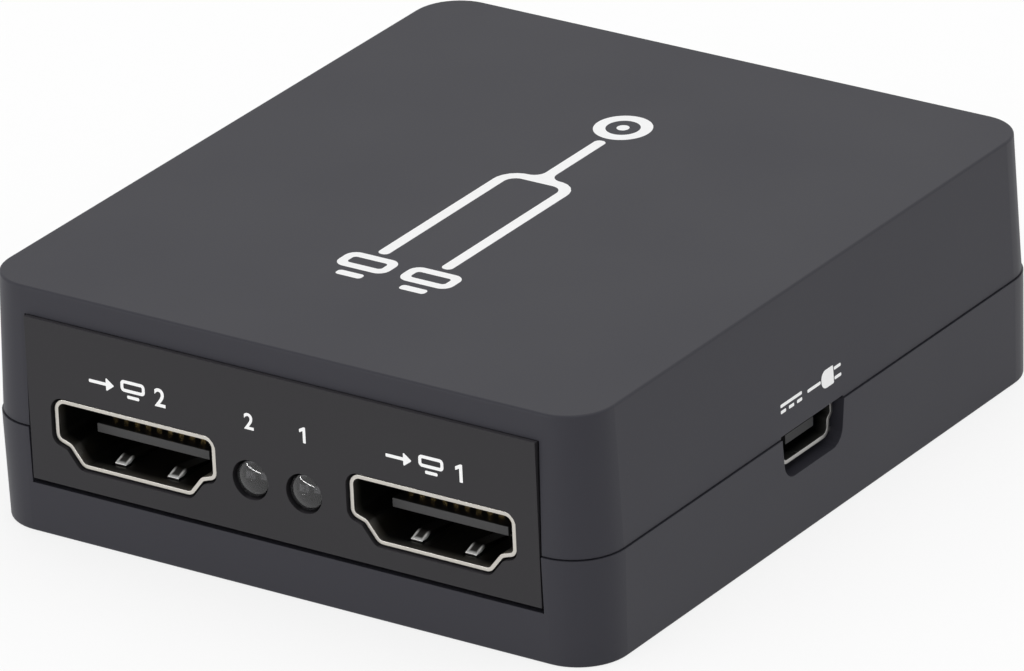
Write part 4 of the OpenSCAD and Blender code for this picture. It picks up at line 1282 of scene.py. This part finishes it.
def area_light(name, power, width, height, place, aim, tilt=0.0):
    """Soft rectangular light that points at a spot, turned about its beam."""
    light = bpy.data.lights.new(name, "AREA")
    light.energy = power
    light.shape = "RECTANGLE"
    light.size = width
    light.size_y = height
    lamp = placed(name, light)
    lamp.location = place
    beam = (Vector(aim) - Vector(place)).to_track_quat("-Z", "Y").to_matrix()
    lamp.rotation_euler = (beam @ Matrix.Rotation(tilt, 3, "Z")).to_euler()


class SPLITTER_OT_stage(Operator):
    """Sets the floor, the lights, the surroundings and the camera"""

    bl_idname = "splitter.stage"
    bl_label = "Set Stage"

    def execute(self, context):
        stage = context.scene.splitter.stage
        self.floor(stage)
        self.world(context.scene, stage)
        side = stage.top_size
        area_light("top_light", stage.top_light, side, side, stage.top_place, stage.top_aim)
        area_light(
            "strip_light", stage.strip, stage.strip_length, stage.strip_width,
            stage.strip_place, stage.strip_aim, stage.strip_tilt,
        )
        self.camera(context.scene, stage)
        context.scene.view_settings.view_transform = "Standard"
        return {"FINISHED"}

    @staticmethod
    def floor(stage):
        """Round floor under the object."""
        shape = bmesh.new()
        bmesh.ops.create_circle(shape, cap_ends=True, radius=stage.floor, segments=64)
        mesh = drawn(shape, bpy.data.meshes.new("floor"))
        mesh.materials.append(paper_floor(stage))
        placed("floor", mesh)

    @staticmethod
    def world(scene, stage):
        """Even surroundings that look white."""
        scene.world = bpy.data.worlds.new("surroundings")
        scene.world.use_nodes = True
        tree = Nodes(scene.world.node_tree)
        back = scene.world.node_tree.nodes["Background"]
        tree.feed(back.inputs["Color"], (1, 1, 1, 1))
        tree.feed(back.inputs["Strength"], stage.sky + white_for_looks(tree) * (1 - stage.sky))

    @staticmethod
    def camera(scene, stage):
        """Camera that looks at the target from its angles and distance."""
        lens = bpy.data.cameras.new("camera")
        lens.sensor_fit = "HORIZONTAL"
        lens.sensor_width = stage.sensor
        lens.lens = stage.focal
        lens.clip_end = 10
        level, rise = math.cos(stage.elevation), math.sin(stage.elevation)
        back = Vector((level * math.sin(stage.azimuth), -level * math.cos(stage.azimuth), rise))
        right = Vector((0, 0, 1)).cross(back).normalized()
        up = back.cross(right)
        axes = Matrix((right, up, back)).transposed() @ Matrix.Rotation(stage.roll, 3, "Z")
        place = Matrix.Translation(Vector(stage.target) + back * stage.distance)
        camera = placed("camera", lens)
        camera.matrix_world = place @ axes.to_4x4()
        scene.camera = camera


# Sidebar and registration


SETTINGS = (CaseFinish, MetalFinish, BoardFinish, ScrewSizes, SolderSizes, PrintSizes, StageSettings)
OPERATORS = (
    SPLITTER_OT_case,
    SPLITTER_OT_receptacles,
    SPLITTER_OT_electronics,
    SPLITTER_OT_screws,
    SPLITTER_OT_solder,
    SPLITTER_OT_dies,
    SPLITTER_OT_panel_prints,
    SPLITTER_OT_side_print,
    SPLITTER_OT_roof_print,
    SPLITTER_OT_stage,
)


class SPLITTER_PT_sidebar(Panel):
    """Lists the settings and the steps of the splitter"""

    bl_idname = "SPLITTER_PT_sidebar"
    bl_label = "Video Splitter"
    bl_space_type = "VIEW_3D"
    bl_region_type = "UI"
    bl_category = "Splitter"

    def draw(self, context):
        settings = context.scene.splitter
        for group, kind in zip(SplitterSettings.__annotations__, SETTINGS):
            box = self.layout.box()
            box.label(text=group.capitalize())
            for name in kind.__annotations__:
                label = name.replace("_", " ").capitalize()
                box.prop(getattr(settings, group), name, text=label)
        for operator in OPERATORS:
            self.layout.operator(operator.bl_idname)


CLASSES = (*SETTINGS, SplitterSettings, *OPERATORS, SPLITTER_PT_sidebar)


def register():
    """Registers the settings, the operators and the panel."""
    for item in CLASSES:
        bpy.utils.register_class(item)
    bpy.types.Scene.splitter = PointerProperty(type=SplitterSettings)


def unregister():
    """Takes back what register added."""
    del bpy.types.Scene.splitter
    for item in reversed(CLASSES):
        bpy.utils.unregister_class(item)


def main():
    """Builds everything in order."""
    register()
    bpy.ops.splitter.case()
    bpy.ops.splitter.receptacles()
    bpy.ops.splitter.electronics()
    bpy.ops.splitter.screws()
    bpy.ops.splitter.solder()
    bpy.ops.splitter.dies()
    bpy.ops.splitter.panel_prints()
    bpy.ops.splitter.side_print()
    bpy.ops.splitter.roof_print()
    bpy.ops.splitter.stage()


if __name__ == "__main__":
    main()
